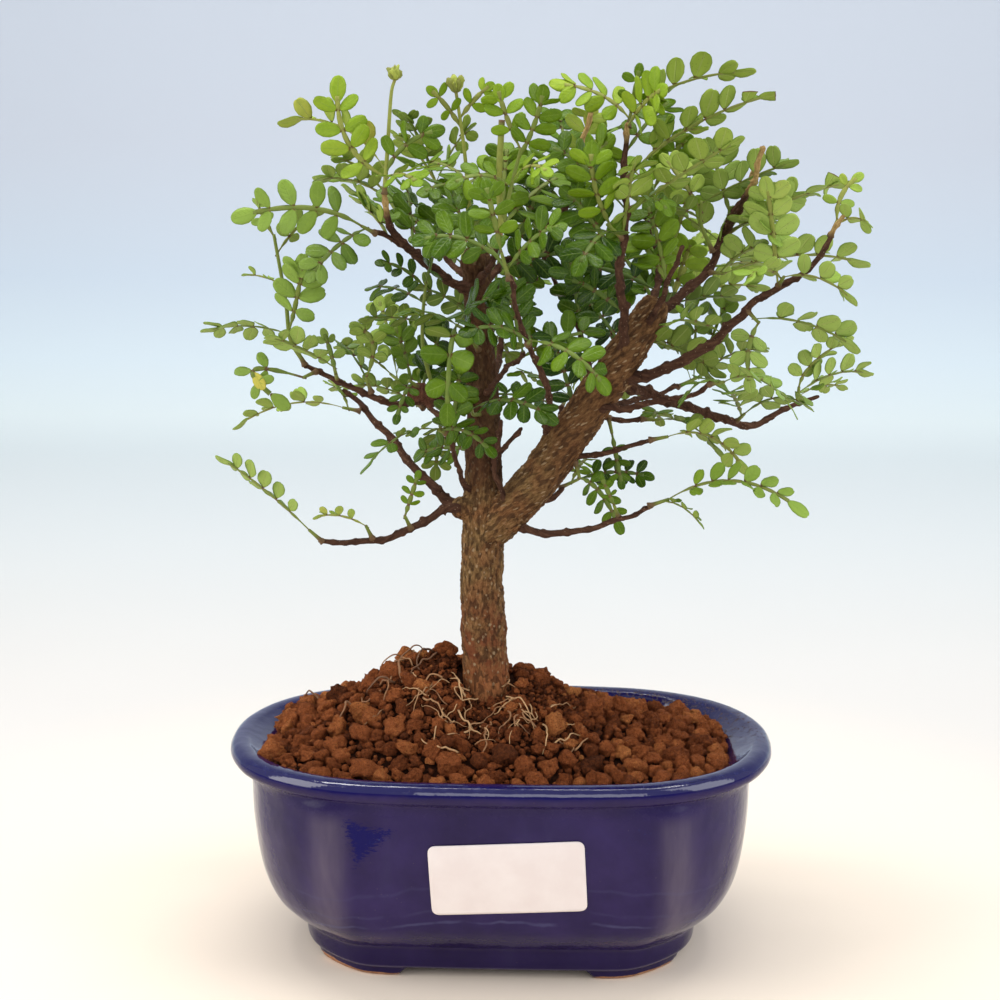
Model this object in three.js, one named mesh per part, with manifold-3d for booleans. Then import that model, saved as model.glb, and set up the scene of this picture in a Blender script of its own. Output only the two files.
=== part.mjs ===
// A small pepper tree in a glazed pot: bark, leafy shoots, granular soil, drain meshes and sticker.
// Millimetres, +Z up. The tree is described in the pot's own frame, with the origin on the surface
// that the pot stands on, under the middle of its rim, and -Y towards the viewer.

import * as THREE from 'three';
import { mergeVertices } from 'three/addons/utils/BufferGeometryUtils.js';
import Module from 'manifold-3d';

// Pot
const RIM_HALF_WIDTH = 75;
const RIM_HALF_DEPTH = 46.5;
const POT_HEIGHT = 60;
const WALL = 5;
const FLOOR_TOP = 7;
const FOOT_HEIGHT = 2.7;
const FOOT_LENGTH = 28;
const FOOT_DEPTH = 15;
const FOOT_INSET = 13.6;
const HOLE_RADIUS = 6;
const HOLE_OFFSET = 30;
const PLAN_STEPS = 8;

// Drain mesh, soil and sticker
const MESH_SIDE = 19;
const MESH_THICKNESS = 0.8;
const MESH_WINDOW = 6;
const GRAIN_COUNT = 58;
const GRAIN_SIZE = 5.9;
const SOIL_RIM_DROP = 3.5;
const STICKER = { width: 41, height: 19.5, thickness: 0.4, tilt: 2.9, x: 3.7, z: 34.6, corner: 1.6 };

// Distance kept between neighbouring pieces, and size of the slivers that a join may leave
const GAP = 0.3;
const SLIVER = 0.05;

// Leaves
const BLADE_THICKNESS = 0.64;
const RIB_HALF_WIDTH = 0.6;
const PETIOLE_HALF_WIDTH = 0.35;
const LEAF_HALF_WIDTH = 5.8;
const FULL_LEAF = 24;
const PETIOLE = 0.14;
const LAST_NOTCH = 0.78;
const STEM_RADIUS = 0.85;
const FREE_STEM = 3.4;
const STEM_SEAT = 0.42;
const LEAF_CLEARANCE = 3.6;
const SISTER_CLEARANCE = 2.6;
const BARK_CLEARANCE = 1.6;
const CROWN_CENTRE = [8, 2, 172];
const CROWN_REACH = [70, 62, 68];

// Trunk and branches: middle line from the joint outwards, and radius at each end or at each point
const BRANCHES = {
  trunk: {
    line: [
      [-4, 0, 52], [-4, 0, 64], [-4, 0, 74], [-5, 0, 98], [-5, 2, 122], [-5, 5, 145], [-6, 9, 167],
      [-7, 8, 190],
    ],
    radii: [7.2, 9.2, 7.5, 6.8, 6.4, 5.4, 4.6, 4.1],
    sides: 9,
  },
  limb: {
    line: [[-2, 0, 117], [3, -1, 124], [12, -4, 135], [19, -6, 146], [31, -7, 164], [40, -4, 178]],
    radii: [5.2, 6.0, 6.2, 6.0, 5.6, 4.6],
    sides: 8,
  },
  lowLeft: {
    line: [[-8, 0, 124], [-16, -3, 124], [-26, -8, 119], [-41, -14, 117], [-48, -16, 118]],
    radii: [2.0, 0.9],
  },
  left: {
    line: [[-7, 2, 122], [-15, 3, 125], [-24, 8, 134], [-37, 16, 146], [-45, 20, 153]],
    radii: [2.6, 0.9],
  },
  stubLeft: { line: [[-6, 4, 155], [-16, 0, 154], [-22, -3, 155]], radii: [2.2, 2.4] },
  midLeft: { line: [[-18, -2, 154], [-29, -6, 154], [-39, -8, 158], [-52, -11, 165]], radii: [1.7, 0.9] },
  topLeft: {
    line: [[-7, 6, 182], [-18, -6, 190], [-26, -16, 199], [-28, -19, 204], [-29, -20, 211]],
    radii: [2.0, 1.0],
  },
  topLeftFork: { line: [[-24, -13, 196], [-32, -20, 201]], radii: [1.1, 0.8] },
  backTopLeft: { line: [[-6, 8, 184], [-17, 18, 191], [-30, 34, 200]], radii: [1.5, 0.8] },
  topFront: { line: [[-6, 6, 185], [-1, -10, 194], [1, -19, 202]], radii: [1.4, 0.8] },
  topBack: { line: [[-6, 8, 184], [4, 20, 191], [17, 30, 204]], radii: [1.6, 0.8] },
  crossTwig: { line: [[-6, 8, 182], [3, 16, 183], [9, 26, 184]], radii: [1.2, 0.8] },
  frontTwig: { line: [[13, -6, 146], [13, -20, 161], [8, -29, 173], [4, -40, 192]], radii: [1.5, 0.8] },
  innerTwig: { line: [[-5, 5, 154], [0, -6, 161], [7, -24, 170]], radii: [1.3, 0.8] },
  backTwig: { line: [[26, -4, 156], [21, 12, 171], [11, 24, 188]], radii: [1.4, 0.8] },
  upright: {
    line: [[33, -8, 167], [32, -18, 186], [31, -18, 193], [33, -15, 205], [32, -12, 216], [33, -10, 228]],
    radii: [1.9, 1.0],
  },
  frontRight: { line: [[38, -6, 174], [42, -15, 183], [47, -27, 198]], radii: [1.5, 0.8] },
  highRight: {
    line: [[38, -5, 175], [49, 2, 183], [55, 5, 188], [60, 8, 199], [65, 9, 209], [69, 9, 221]],
    radii: [2.2, 0.9],
  },
  right: {
    line: [[31, -6, 160], [46, -13, 166], [61, -17, 177], [66, -18, 183], [80, -18, 192], [90, -15, 207]],
    radii: [2.4, 0.8],
  },
  lowRight: {
    line: [[31, -4, 160], [44, 7, 153], [60, 14, 147], [68, 17, 144], [78, 22, 148], [88, 26, 151]],
    radii: [2.3, 0.8],
  },
  frontLow: { line: [[24, -8, 153], [37, -19, 156], [50, -26, 160], [55, -29, 164]], radii: [1.5, 0.8] },
  twigRight: { line: [[23, -4, 151], [32, 6, 148], [39, 11, 147]], radii: [1.3, 0.8] },
  sideRight: { line: [[15, -5, 138], [28, -10, 142], [41, -15, 146]], radii: [1.4, 0.8] },
  shortRight: { line: [[7, -1, 126], [14, 5, 126], [17, 8, 128]], radii: [1.5, 1.0] },
  bottomRight: { line: [[1, -2, 120], [13, -11, 120], [26, -15, 123], [41, -18, 129]], radii: [1.8, 0.8] },
  crotchTwig: { line: [[-8, 0, 128], [-11, -8, 136], [-14, -17, 149]], radii: [1.2, 0.8] },
  bridgeTwig: { line: [[-3, 1, 136], [6, -10, 148]], radii: [1.2, 0.8] },
  backLeft: { line: [[-5, 3, 136], [-14, 22, 141], [-30, 46, 150]], radii: [2.0, 0.8] },
  backMiddle: { line: [[-6, 7, 150], [-2, 38, 160], [-3, 50, 171]], radii: [1.9, 0.8] },
  backRight: { line: [[18, -4, 145], [32, 26, 148], [50, 42, 151]], radii: [2.0, 0.8] },
  backHighRight: { line: [[31, -6, 163], [39, 30, 170], [52, 44, 180]], radii: [1.9, 0.8] },
  backHighLeft: { line: [[-7, 8, 186], [-9, 22, 193], [-18, 38, 204]], radii: [1.5, 0.8] },
  backTop: { line: [[36, -5, 171], [43, 26, 184], [39, 40, 200]], radii: [1.8, 0.8] },
  backLow: { line: [[9, -2, 132], [14, 20, 137], [16, 36, 146]], radii: [1.7, 0.8] },
};

// Healed cuts and swellings on the bark: centre and radius
const KNOTS = [
  [[-22, -3, 156], 3.2],
  [[-7, 8, 190], 4.6],
  [[-10, 0, 124], 5.0],
  [[4, -5, 121], 3.4],
  [[31, -10, 160], 3.2],
  [[40, -4, 178], 4.9],
];
const KNOT_CORE = 0.8;

// The side that a leaf's face turns to
const FRONT = [0, -1, 0.25];
const RISING = [0, -0.75, 0.65];
const UP = [0, -0.35, 0.95];
const LEFT_UP = [-0.5, -0.5, 0.7];

// Leafy shoots that the viewer sees one by one. Each has the line of its green stem, from the middle of
// the branch, and its leaves: place on the stem from 0 to 1, tip, rise of the middle, face and pairs.
const SEEN_SHOOTS = [
  { stem: [[-29, -20, 209], [-28, -20, 221], [-27, -19, 235], [-26, -19, 239]], bud: 1.5,
    leaves: [
      [0.10, [-40, -22, 240], [-4, -1, -3], FRONT, 4], [0.15, [-57, -12, 228], [2, 2, 5], RISING, 3],
      [0.12, [-13, -25, 227], [-2, -1, 2], FRONT, 3], [0.08, [-18, -34, 214], [0, -1, 2], RISING, 2],
    ] },
  { stem: [[-31, -19, 200], [-34, -22, 202]],
    leaves: [[0.95, [-66, -25, 205], [2, -2, 4], FRONT, 4], [0.5, [-48, -31, 189], [0, -1, 2], RISING, 3]] },
  { stem: [[-51, -11, 164], [-55, -12, 172], [-56, -12, 182], [-59, -10, 199]],
    leaves: [
      [0.25, [-50, -20, 195], [1, -3, 1], FRONT, 3], [0.98, [-63, -12, 209], [-1, 0, 1], LEFT_UP, 2],
      [0.6, [-68, -8, 188], [0, 0, 1], UP, 2], [0.22, [-79, -10, 173], [0, 0, 2], UP, 3],
      [0.85, [-46, -6, 205], [0, 0, 2], RISING, 2],
    ] },
  { stem: [[-48, -10, 163], [-51, -14, 162]],
    leaves: [[0.95, [-55, -17, 154], [-11, -2, 6], FRONT, 3]] },
  { stem: [[-43, -9, 160], [-43, -16, 165]],
    leaves: [[0.95, [-59, -23, 175], [0, 0, 1], RISING, 2], [0.5, [-47, -8, 174], [0, 2, 0], RISING, 2]] },
  { stem: [[-34, -7, 156], [-35, -9, 160]],
    leaves: [[0.95, [-39, -15, 176], [4, -2, 3], FRONT, 3], [0.5, [-44, 4, 168], [0, 0, 2], UP, 2]] },
  { stem: [[-20, -2, 156], [-23, -6, 159]],
    leaves: [[0.95, [-39, -20, 163], [1, -3, 1], FRONT, 3], [0.5, [-27, -17, 150], [0, 0, 2], UP, 2]] },
  { stem: [[-18, -3, 157], [-20, -9, 168], [-20, -12, 177], [-19, -12, 187]],
    leaves: [
      [0.66, [-36, -18, 178], [0, 0, 1], FRONT, 2], [0.95, [-31, -14, 193], [0, 0, 2], RISING, 2],
      [0.82, [-36, -6, 184], [0, 0, 2], UP, 2], [0.98, [-14, -24, 198], [0, -1, 2], RISING, 2],
    ] },
  { stem: [[-6, 6, 166], [-9, -5, 173], [-11, -14, 176]],
    leaves: [
      [0.98, [-12, -36, 153], [0, -8, 6], FRONT, 3], [0.9, [-24, -26, 181], [0, 0, 2], RISING, 2],
      [0.95, [1, -32, 184], [0, 0, 3], RISING, 2],
    ] },
  { stem: [[-5, 5, 149], [-7, -7, 151], [-7, -16, 154]],
    leaves: [[0.98, [16, -36, 154], [0, -5, 5], RISING, 3]] },
  { stem: [[8, -29, 173], [9, -35, 175]],
    leaves: [[0.95, [29, -44, 163], [1, -6, 4], RISING, 3], [0.5, [-8, -45, 178], [0, 0, 3], RISING, 2]] },
  { stem: [[4, -39, 190], [2, -43, 198]],
    leaves: [
      [0.95, [-2, -46, 216], [0, -2, 1], FRONT, 3], [0.5, [-20, -44, 200], [0, 0, 4], RISING, 3],
      [0.15, [18, -50, 205], [0, 0, 3], RISING, 2], [0.05, [-14, -32, 210], [0, 0, 2], UP, 2],
    ] },
  { stem: [[-7, 6, 188], [-8, -4, 205], [-9, -10, 221], [-11, -12, 236]], bud: 1.9,
    leaves: [
      [0.80, [-18, -16, 237], [0, 0, 1], FRONT, 2], [0.85, [-1, -16, 238], [0, 0, 1], FRONT, 2],
      [0.45, [-20, -22, 210], [0, 0, 2], RISING, 2],
      [0.5, [-22, 10, 216], [0, 0, 2], UP, 2],
    ] },
  { stem: [[1, -18, 201], [3, -21, 210], [6, -20, 222]],
    leaves: [
      [0.98, [0, -20, 238], [-1, 0, 1], FRONT, 3], [0.85, [12, -22, 238], [1, 0, 0], FRONT, 2],
      [0.5, [-12, -34, 213], [0, 0, 3], RISING, 3], [0.6, [14, -35, 216], [0, 0, 3], RISING, 2],
    ] },
  { stem: [[33, -13, 214], [38, -14, 219]],
    leaves: [[0.95, [72, -18, 236], [-2, -2, 2], FRONT, 4], [0.5, [54, -4, 226], [0, 0, 3], RISING, 2]] },
  { stem: [[33, -10, 226], [34, -9, 231]],
    leaves: [
      [0.95, [66, -3, 241], [-2, 1, 2], RISING, 3], [0.5, [36, -14, 243], [0, -1, 0], FRONT, 2],
      [0.15, [13, -14, 238], [2, 0, 2], RISING, 3],
    ] },
  { stem: [[32, -17, 199], [28, -22, 203]],
    leaves: [
      [0.95, [-1, -38, 218], [4, -3, -1], FRONT, 3], [0.5, [24, -24, 224], [-2, -2, 0], FRONT, 3],
      [0.15, [20, -40, 192], [0, -1, 4], UP, 2],
    ] },
  { stem: [[33, -15, 206], [38, -18, 209]],
    leaves: [[0.95, [62, -25, 225], [0, -3, 1], FRONT, 3], [0.5, [44, -34, 205], [0, 0, 3], UP, 2]] },
  { stem: [[57, 6, 192], [53, 4, 201], [53, 3, 207]],
    leaves: [[0.95, [78, -1, 218], [0, -1, 1], FRONT, 3], [0.8, [42, 6, 219], [0, 0, 1], RISING, 2],
      [0.6, [38, -4, 203], [0, 0, 3], UP, 2]] },
  { stem: [[60, 8, 198], [63, 5, 200]],
    leaves: [[0.95, [93, 2, 212], [0, -3, 2], FRONT, 4], [0.5, [72, -21, 198], [0, 0, 3], UP, 2]] },
  { stem: [[55, 5, 188], [59, 2, 188]],
    leaves: [[0.95, [98, -5, 190], [0, -2, 4], RISING, 4], [0.5, [72, -20, 196], [0, 0, 3], UP, 2],
      [0.15, [74, 18, 186], [0, 0, 3], UP, 2]] },
  { stem: [[84, -17, 197], [86, -14, 201]],
    leaves: [[0.95, [94, -8, 215], [-2, 0, 1], FRONT, 2], [0.5, [99, -22, 203], [0, 0, 2], UP, 2]] },
  { stem: [[64, -18, 181], [67, -21, 178]],
    leaves: [[0.95, [65, -29, 161], [-2, -4, 2], FRONT, 3], [0.5, [93, -23, 171], [0, -1, 3], FRONT, 3]] },
  { stem: [[72, -18, 187], [73, -23, 190]],
    leaves: [[0.95, [91, -31, 184], [0, 0, 3], UP, 3], [0.5, [62, -38, 190], [0, 0, 3], UP, 2]] },
  { stem: [[82, 24, 149], [82, 23, 153]],
    leaves: [[0.95, [96, 18, 169], [-3, 1, 0], FRONT, 3], [0.5, [103, 16, 157], [0, -1, 3], UP, 3],
      [0.15, [97, 34, 151], [0, 0, 2], UP, 2]] },
  { stem: [[64, 16, 145], [66, 12, 148]],
    leaves: [[0.95, [84, -2, 152], [0, 0, 4], UP, 3], [0.5, [60, -10, 158], [0, 0, 2], RISING, 2]] },
  { stem: [[54, -28, 163], [57, -31, 164]],
    leaves: [[0.95, [75, -38, 159], [0, -1, 5], UP, 3],
      [0.5, [46, -44, 160], [0, 0, 3], UP, 2]] },
  { stem: [[38, 10, 147], [42, 9, 147]],
    leaves: [[0.95, [60, 2, 139], [0, -2, 4], RISING, 3], [0.5, [44, 28, 142], [0, 0, 3], UP, 2]] },
  { stem: [[29, 3, 149], [30, 0, 145]],
    leaves: [[0.95, [33, -3, 130], [0, 0, 0], FRONT, 2]] },
  { stem: [[40, -15, 146], [44, -16, 147]],
    leaves: [[0.95, [66, -5, 136], [1, 0, 5], UP, 3]] },
  { stem: [[20, -7, 139], [21, -9, 136]],
    leaves: [[0.95, [33, -3, 119], [0, 2, 3], FRONT, 3]] },
  { stem: [[16, 8, 128], [21, 10, 130]],
    leaves: [[0.95, [42, 12, 130], [0, 0, 2], RISING, 3], [0.5, [24, 28, 132], [0, 0, 2], UP, 2]] },
  { stem: [[40, -18, 129], [45, -19, 131]],
    leaves: [[0.95, [80, -27, 130], [0, 0, 7], FRONT, 4], [0.5, [54, -27, 125], [0, 0, 2], UP, 2]] },
  { stem: [[32, -16, 125], [31, -18, 128]],
    leaves: [[0.95, [27, -22, 138], [0, 0, 0], FRONT, 2]] },
  { stem: [[-34, -12, 118], [-35, -14, 121]],
    leaves: [[0.95, [-49, -19, 125], [0, -1, 2], RISING, 2]] },
  { stem: [[-47, -16, 118], [-50, -17, 121]],
    leaves: [[0.95, [-74, -21, 142], [0, -2, 2], RISING, 3]] },
  { stem: [[-24, -8, 120], [-25, -10, 123]],
    leaves: [[0.95, [-21, -14, 137], [0, 0, 0], FRONT, 2]] },
  { stem: [[-38, 17, 147], [-42, 16, 148]],
    leaves: [[0.95, [-75, 12, 143], [0, 0, 4], UP, 4], [0.5, [-50, 32, 150], [0, 0, 3], UP, 2]] },
  { stem: [[-13, -15, 147], [-15, -20, 149]],
    leaves: [[0.95, [-34, -26, 141], [0, 0, 4], UP, 3], [0.5, [0, -30, 144], [0, 0, 3], RISING, 2]] },
];

// Leafy shoots that fill the crown by rule: branch, place on it from 0 to 1, and number of leaves
const FILL_SHOOTS = [
  ['backLeft', 0.98, 5], ['backLeft', 0.6, 3], ['backMiddle', 0.98, 5], ['backMiddle', 0.6, 4],
  ['backRight', 0.98, 5], ['backHighRight', 0.62, 4], ['backHighLeft', 0.98, 5], ['backTop', 0.98, 4],
  ['backTop', 0.6, 3], ['backTopLeft', 0.98, 3], ['topBack', 0.98, 4], ['backTwig', 0.98, 4],
  ['backLow', 0.98, 4],
];

// Random numbers that repeat from run to run
function seededRandom(seed) {
  let state = seed;
  return () => {
    state = (state * 16807) % 2147483647;
    return state / 2147483647;
  };
}

const vec = (p) => new THREE.Vector3(p[0], p[1], p[2]);

function pointAlong(line, place) {
  const lengths = line.slice(1).map((p, i) => vec(p).distanceTo(vec(line[i])));
  let rest = place * lengths.reduce((sum, part) => sum + part, 0);
  let i = 0;
  while (i < lengths.length - 1 && rest > lengths[i]) {
    rest -= lengths[i];
    i += 1;
  }
  return vec(line[i]).lerp(vec(line[i + 1]), rest / lengths[i]);
}

function radiusAlong(radii, share) {
  const place = share * (radii.length - 1);
  const low = Math.min(Math.floor(place), radii.length - 2);
  return THREE.MathUtils.lerp(radii[low], radii[low + 1], place - low);
}

function ringPoints(centre, normal, binormal, radius, sides) {
  const ring = [];
  for (let i = 0; i < sides; i += 1) {
    const turn = (2 * Math.PI * i) / sides;
    ring.push(centre.clone()
      .addScaledVector(normal, radius * Math.cos(turn))
      .addScaledVector(binormal, radius * Math.sin(turn)));
  }
  return ring;
}

// Distance from a point to the surface of a round line with flat ends
function distanceToSurface(point, line, radii) {
  let nearest = Infinity;
  for (let i = 0; i < line.length - 1; i += 1) {
    const start = vec(line[i]);
    const along = vec(line[i + 1]).sub(start);
    const foot = point.clone().sub(start).dot(along) / along.lengthSq();
    const share = THREE.MathUtils.clamp(foot, 0, 1);
    const beyond = Math.abs(foot - share) * along.length();
    const radius = radiusAlong(radii, (i + share) / (line.length - 1));
    const away = start.addScaledVector(along, foot).distanceTo(point) - radius;
    nearest = Math.min(nearest, beyond > 0 ? Math.hypot(beyond, Math.max(away, 0)) : away);
  }
  return nearest;
}

function distanceToBark(point) {
  const branches = Object.values(BRANCHES);
  const toBranches = branches.map(({ line, radii }) => distanceToSurface(point, line, radii));
  const toKnots = KNOTS.map(([centre, radius]) => point.distanceTo(vec(centre)) - KNOT_CORE * radius);
  return Math.min(...toBranches, ...toKnots);
}

// Green stem that starts just off the bark: the given line without the part inside the branch, and
// lengthened where too little of it would stand free
function freeStem(line) {
  const steps = 60;
  const along = vec(line[1]).sub(vec(line[0])).normalize();
  const normal = new THREE.Vector3().crossVectors(along, new THREE.Vector3(0.3, 0.5, 0.8)).normalize();
  const binormal = new THREE.Vector3().crossVectors(along, normal);
  const touches = (place) => ringPoints(pointAlong(line, place), normal, binormal, STEM_RADIUS, 8)
    .some((p) => distanceToBark(p) < STEM_SEAT);
  let start = 0;
  while (start < steps && touches(start / steps)) start += 1;
  const first = pointAlong(line, start / steps);
  const last = vec(line[line.length - 1]);
  const rest = line.slice(1, -1).filter((p) => vec(p).distanceTo(last) < first.distanceTo(last));
  const before = vec(line[line.length - 2]);
  const missing = Math.max(FREE_STEM - first.distanceTo(last), 0);
  last.addScaledVector(last.clone().sub(before).normalize(), missing);
  return [first.toArray(), ...rest, last.toArray()];
}

// Solids

const wasm = await Module();
wasm.setup();

function geometryOf(points, faces) {
  const geometry = new THREE.BufferGeometry();
  const positions = points.flatMap((p) => [p.x, p.y, p.z]);
  geometry.setAttribute('position', new THREE.Float32BufferAttribute(positions, 3));
  geometry.setIndex(faces.flat());
  return geometry;
}

function solidOf(geometry) {
  const bare = geometry.clone();
  bare.deleteAttribute('normal');
  bare.deleteAttribute('uv');
  const merged = mergeVertices(bare, 1e-5);
  const mesh = new wasm.Mesh({
    numProp: 3,
    vertProperties: new Float32Array(merged.attributes.position.array),
    triVerts: new Uint32Array(merged.index.array),
  });
  return new wasm.Manifold(mesh);
}

function largestBody(solid) {
  return solid.decompose().reduce((best, part) => (part.volume() > best.volume() ? part : best));
}

function meshOf(name, solid, material) {
  const { vertProperties, triVerts } = solid.getMesh();
  const geometry = new THREE.BufferGeometry();
  geometry.setAttribute('position', new THREE.BufferAttribute(vertProperties, 3));
  geometry.setIndex(new THREE.BufferAttribute(triVerts, 1));
  geometry.computeVertexNormals();
  const mesh = new THREE.Mesh(geometry, material);
  mesh.name = name;
  return mesh;
}

// Closed solid through rings of equally many points, each ring running counter-clockwise seen from
// the end that the rings run towards
function loftSolid(rings) {
  const count = rings[0].length;
  const points = rings.flat();
  const faces = [];
  for (let r = 0; r < rings.length - 1; r += 1) {
    for (let i = 0; i < count; i += 1) {
      const a = r * count + i;
      const b = r * count + ((i + 1) % count);
      faces.push([a, b, b + count], [a, b + count, a + count]);
    }
  }
  const last = (rings.length - 1) * count;
  for (let i = 1; i < count - 1; i += 1) {
    faces.push([0, i + 1, i], [last, last + i, last + i + 1]);
  }
  return solidOf(geometryOf(points, faces));
}

// Round tapering solid with a ring at each point of its line
function tubeSolid(line, radii, sides, swell = 0) {
  const last = line.length - 1;
  const widen = 1 / Math.sqrt(Math.cos(Math.PI / sides));
  const normal = new THREE.Vector3(0.31, 0.52, 0.79);
  return loftSolid(line.map((p, i) => {
    const along = vec(line[Math.min(i + 1, last)]).sub(vec(line[Math.max(i - 1, 0)])).normalize();
    normal.projectOnPlane(along).normalize();
    const binormal = new THREE.Vector3().crossVectors(along, normal);
    const radius = radiusAlong(radii, i / last) * widen + swell;
    return ringPoints(vec(p), normal, binormal, radius, sides);
  }));
}

function lumpSolid(centre, geometry, random) {
  geometry.rotateX(6 * random());
  geometry.rotateZ(6 * random());
  geometry.scale(1 + 0.3 * random(), 0.8 + 0.3 * random(), 0.75 + 0.3 * random());
  geometry.translate(centre[0], centre[1], centre[2]);
  return solidOf(geometry);
}

function boxSolid(width, depth, height, x, y, z) {
  return solidOf(new THREE.BoxGeometry(width, depth, height).translate(x, y, z));
}

// Pot

// Plan outlines as points of one quarter, shares of the half width and half depth
const RIM_QUARTER = [
  [1, 0], [0.992, 0.19], [0.962, 0.37], [0.908, 0.55], [0.822, 0.715], [0.702, 0.85],
  [0.548, 0.945], [0.37, 0.985], [0.2, 0.997], [0.08, 1], [0, 1],
];
const BODY_QUARTER = [
  [0.92, 0], [0.915, 0.17], [0.895, 0.33], [0.855, 0.5], [0.79, 0.66], [0.71, 0.8],
  [0.625, 0.9], [0.53, 0.935], [0.33, 0.945], [0.14, 0.95], [0, 0.95],
];

function quarterPoint(quarter, place) {
  const low = Math.min(Math.floor(place), quarter.length - 2);
  return [0, 1].map((k) => THREE.MathUtils.lerp(quarter[low][k], quarter[low + 1][k], place - low));
}

function planRing(quarter, z, inset, steps = PLAN_STEPS) {
  const full = [];
  const place = (i) => (i / steps) * (quarter.length - 1);
  for (let i = 0; i < steps; i += 1) full.push([1, 1, place(i)]);
  for (let i = steps; i > 0; i -= 1) full.push([-1, 1, place(i)]);
  for (let i = 0; i < steps; i += 1) full.push([-1, -1, place(i)]);
  for (let i = steps; i > 0; i -= 1) full.push([1, -1, place(i)]);
  return full.map(([sx, sy, at]) => {
    const [u, v] = quarterPoint(quarter, at);
    return new THREE.Vector3(
      sx * u * (RIM_HALF_WIDTH - inset * 1.02),
      sy * v * (RIM_HALF_DEPTH - inset),
      z,
    );
  });
}

function blendRing(share, z, inset, steps = PLAN_STEPS) {
  const body = planRing(BODY_QUARTER, z, inset, steps);
  const rim = planRing(RIM_QUARTER, z, inset, steps);
  return body.map((p, i) => p.lerp(rim[i], share));
}

// Outside of the pot from the foot upwards, then its inside up to the rim's inner edge: share of the
// rim's plan, height and inset
const OUTSIDE = [
  [0, 0, FOOT_INSET + 1], [0, 6, FOOT_INSET - 0.4], [0, 8.6, FOOT_INSET], [0, 12, 10], [0, 17, 5.6],
  [0, 25, 2.4], [0, 38, 0.4], [0, 52, 0], [0.85, 54.6, 0.9], [1, 56.6, 0], [1, 58.8, 0.5],
  [1, POT_HEIGHT, 2.6],
];
const INSIDE = [
  [0, FLOOR_TOP, 16], [0, 14, 11.5], [0, 24, 7.5], [0, 50, WALL], [1, 58.6, 7.2], [1, POT_HEIGHT - 0.2, 6],
  [1, POT_HEIGHT, 3], [1, POT_HEIGHT + 2, 4],
];

function potSolid() {
  const outside = OUTSIDE.map(([share, z, inset]) => blendRing(share, z, inset));
  const shell = loftSolid(outside);
  const hollow = INSIDE.map(([share, z, inset]) => blendRing(share, z, inset));
  const acrossGap = 2 * (RIM_HALF_DEPTH - FOOT_INSET - FOOT_DEPTH);
  const alongGap = 2 * (RIM_HALF_WIDTH * BODY_QUARTER[0][0] - FOOT_INSET - FOOT_LENGTH);
  let pot = shell
    .subtract(loftSolid(hollow))
    .subtract(boxSolid(2 * RIM_HALF_WIDTH, acrossGap, 2 * FOOT_HEIGHT, 0, 0, 0))
    .subtract(boxSolid(alongGap, 2 * RIM_HALF_DEPTH, 2 * FOOT_HEIGHT, 0, 0, 0));
  [-1, 1].forEach((side) => {
    const hole = new THREE.CylinderGeometry(HOLE_RADIUS, HOLE_RADIUS, 3 * FLOOR_TOP, 12);
    hole.rotateX(Math.PI / 2).translate(side * HOLE_OFFSET, 0, FLOOR_TOP);
    pot = pot.subtract(solidOf(hole));
  });
  return pot.simplify(SLIVER);
}

function drainMeshSolid(side) {
  const x = side * HOLE_OFFSET;
  const z = FLOOR_TOP + GAP + MESH_THICKNESS / 2;
  let plate = boxSolid(MESH_SIDE, MESH_SIDE, MESH_THICKNESS, x, 0, z);
  const pitch = (MESH_SIDE - 2) / 2;
  [-0.5, 0.5].forEach((i) => {
    [-0.5, 0.5].forEach((j) => {
      plate = plate.subtract(boxSolid(MESH_WINDOW, MESH_WINDOW, 4, x + i * pitch, j * pitch, z));
    });
  });
  return plate;
}

function stickerSolid() {
  const { width, height, thickness, corner } = STICKER;
  const shape = new THREE.Shape();
  const w = width / 2 - corner;
  const h = height / 2 - corner;
  shape.absarc(w, h, corner, 0, Math.PI / 2);
  shape.absarc(-w, h, corner, Math.PI / 2, Math.PI);
  shape.absarc(-w, -h, corner, Math.PI, 1.5 * Math.PI);
  shape.absarc(w, -h, corner, 1.5 * Math.PI, 2 * Math.PI);
  const options = { depth: thickness, bevelEnabled: false, curveSegments: 2 };
  const geometry = new THREE.ExtrudeGeometry(shape, options);
  geometry.rotateZ(THREE.MathUtils.degToRad(STICKER.tilt)).rotateX(Math.PI / 2 + stickerLean());
  geometry.translate(STICKER.x, stickerFront(STICKER.z) - GAP, STICKER.z);
  return solidOf(geometry);
}

// The front wall's face at a height, and its lean over the sticker's height
function stickerFront(z) {
  const above = OUTSIDE.findIndex((row) => row[1] > z);
  const [, lowZ, lowInset] = OUTSIDE[above - 1];
  const [, highZ, highInset] = OUTSIDE[above];
  const inset = THREE.MathUtils.mapLinear(z, lowZ, highZ, lowInset, highInset);
  return -BODY_QUARTER[BODY_QUARTER.length - 1][1] * (RIM_HALF_DEPTH - inset);
}

function stickerLean() {
  const half = STICKER.height / 2;
  return Math.atan2(stickerFront(STICKER.z - half) - stickerFront(STICKER.z + half), STICKER.height);
}

// Soil

// Height of the heap along the tree's middle plane: x and z
const HEAP = [
  [-70, 55], [-56, 61], [-42, 68], [-28, 77], [-16, 80], [-6, 75], [6, 76], [16, 72], [30, 68], [52, 62],
  [70, 54],
];
const HEAP_MIDDLE = 5;
const HEAP_DEPTH = 40;
const BACK_DROP = 1.5;

function soilHeight(x, y) {
  const next = HEAP.findIndex((row) => row[0] >= x);
  const [lowX, lowZ] = HEAP[next - 1];
  const [highX, highZ] = HEAP[next];
  const ridge = THREE.MathUtils.mapLinear(x, lowX, highX, lowZ, highZ);
  const away = Math.min(Math.abs(y - HEAP_MIDDLE) / HEAP_DEPTH, 1);
  const edge = POT_HEIGHT - SOIL_RIM_DROP - (y > 0 ? BACK_DROP : 0);
  return edge + Math.max(ridge - edge, 0) * (1 - away ** 1.4) + Math.min(ridge - edge, 0);
}

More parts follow.
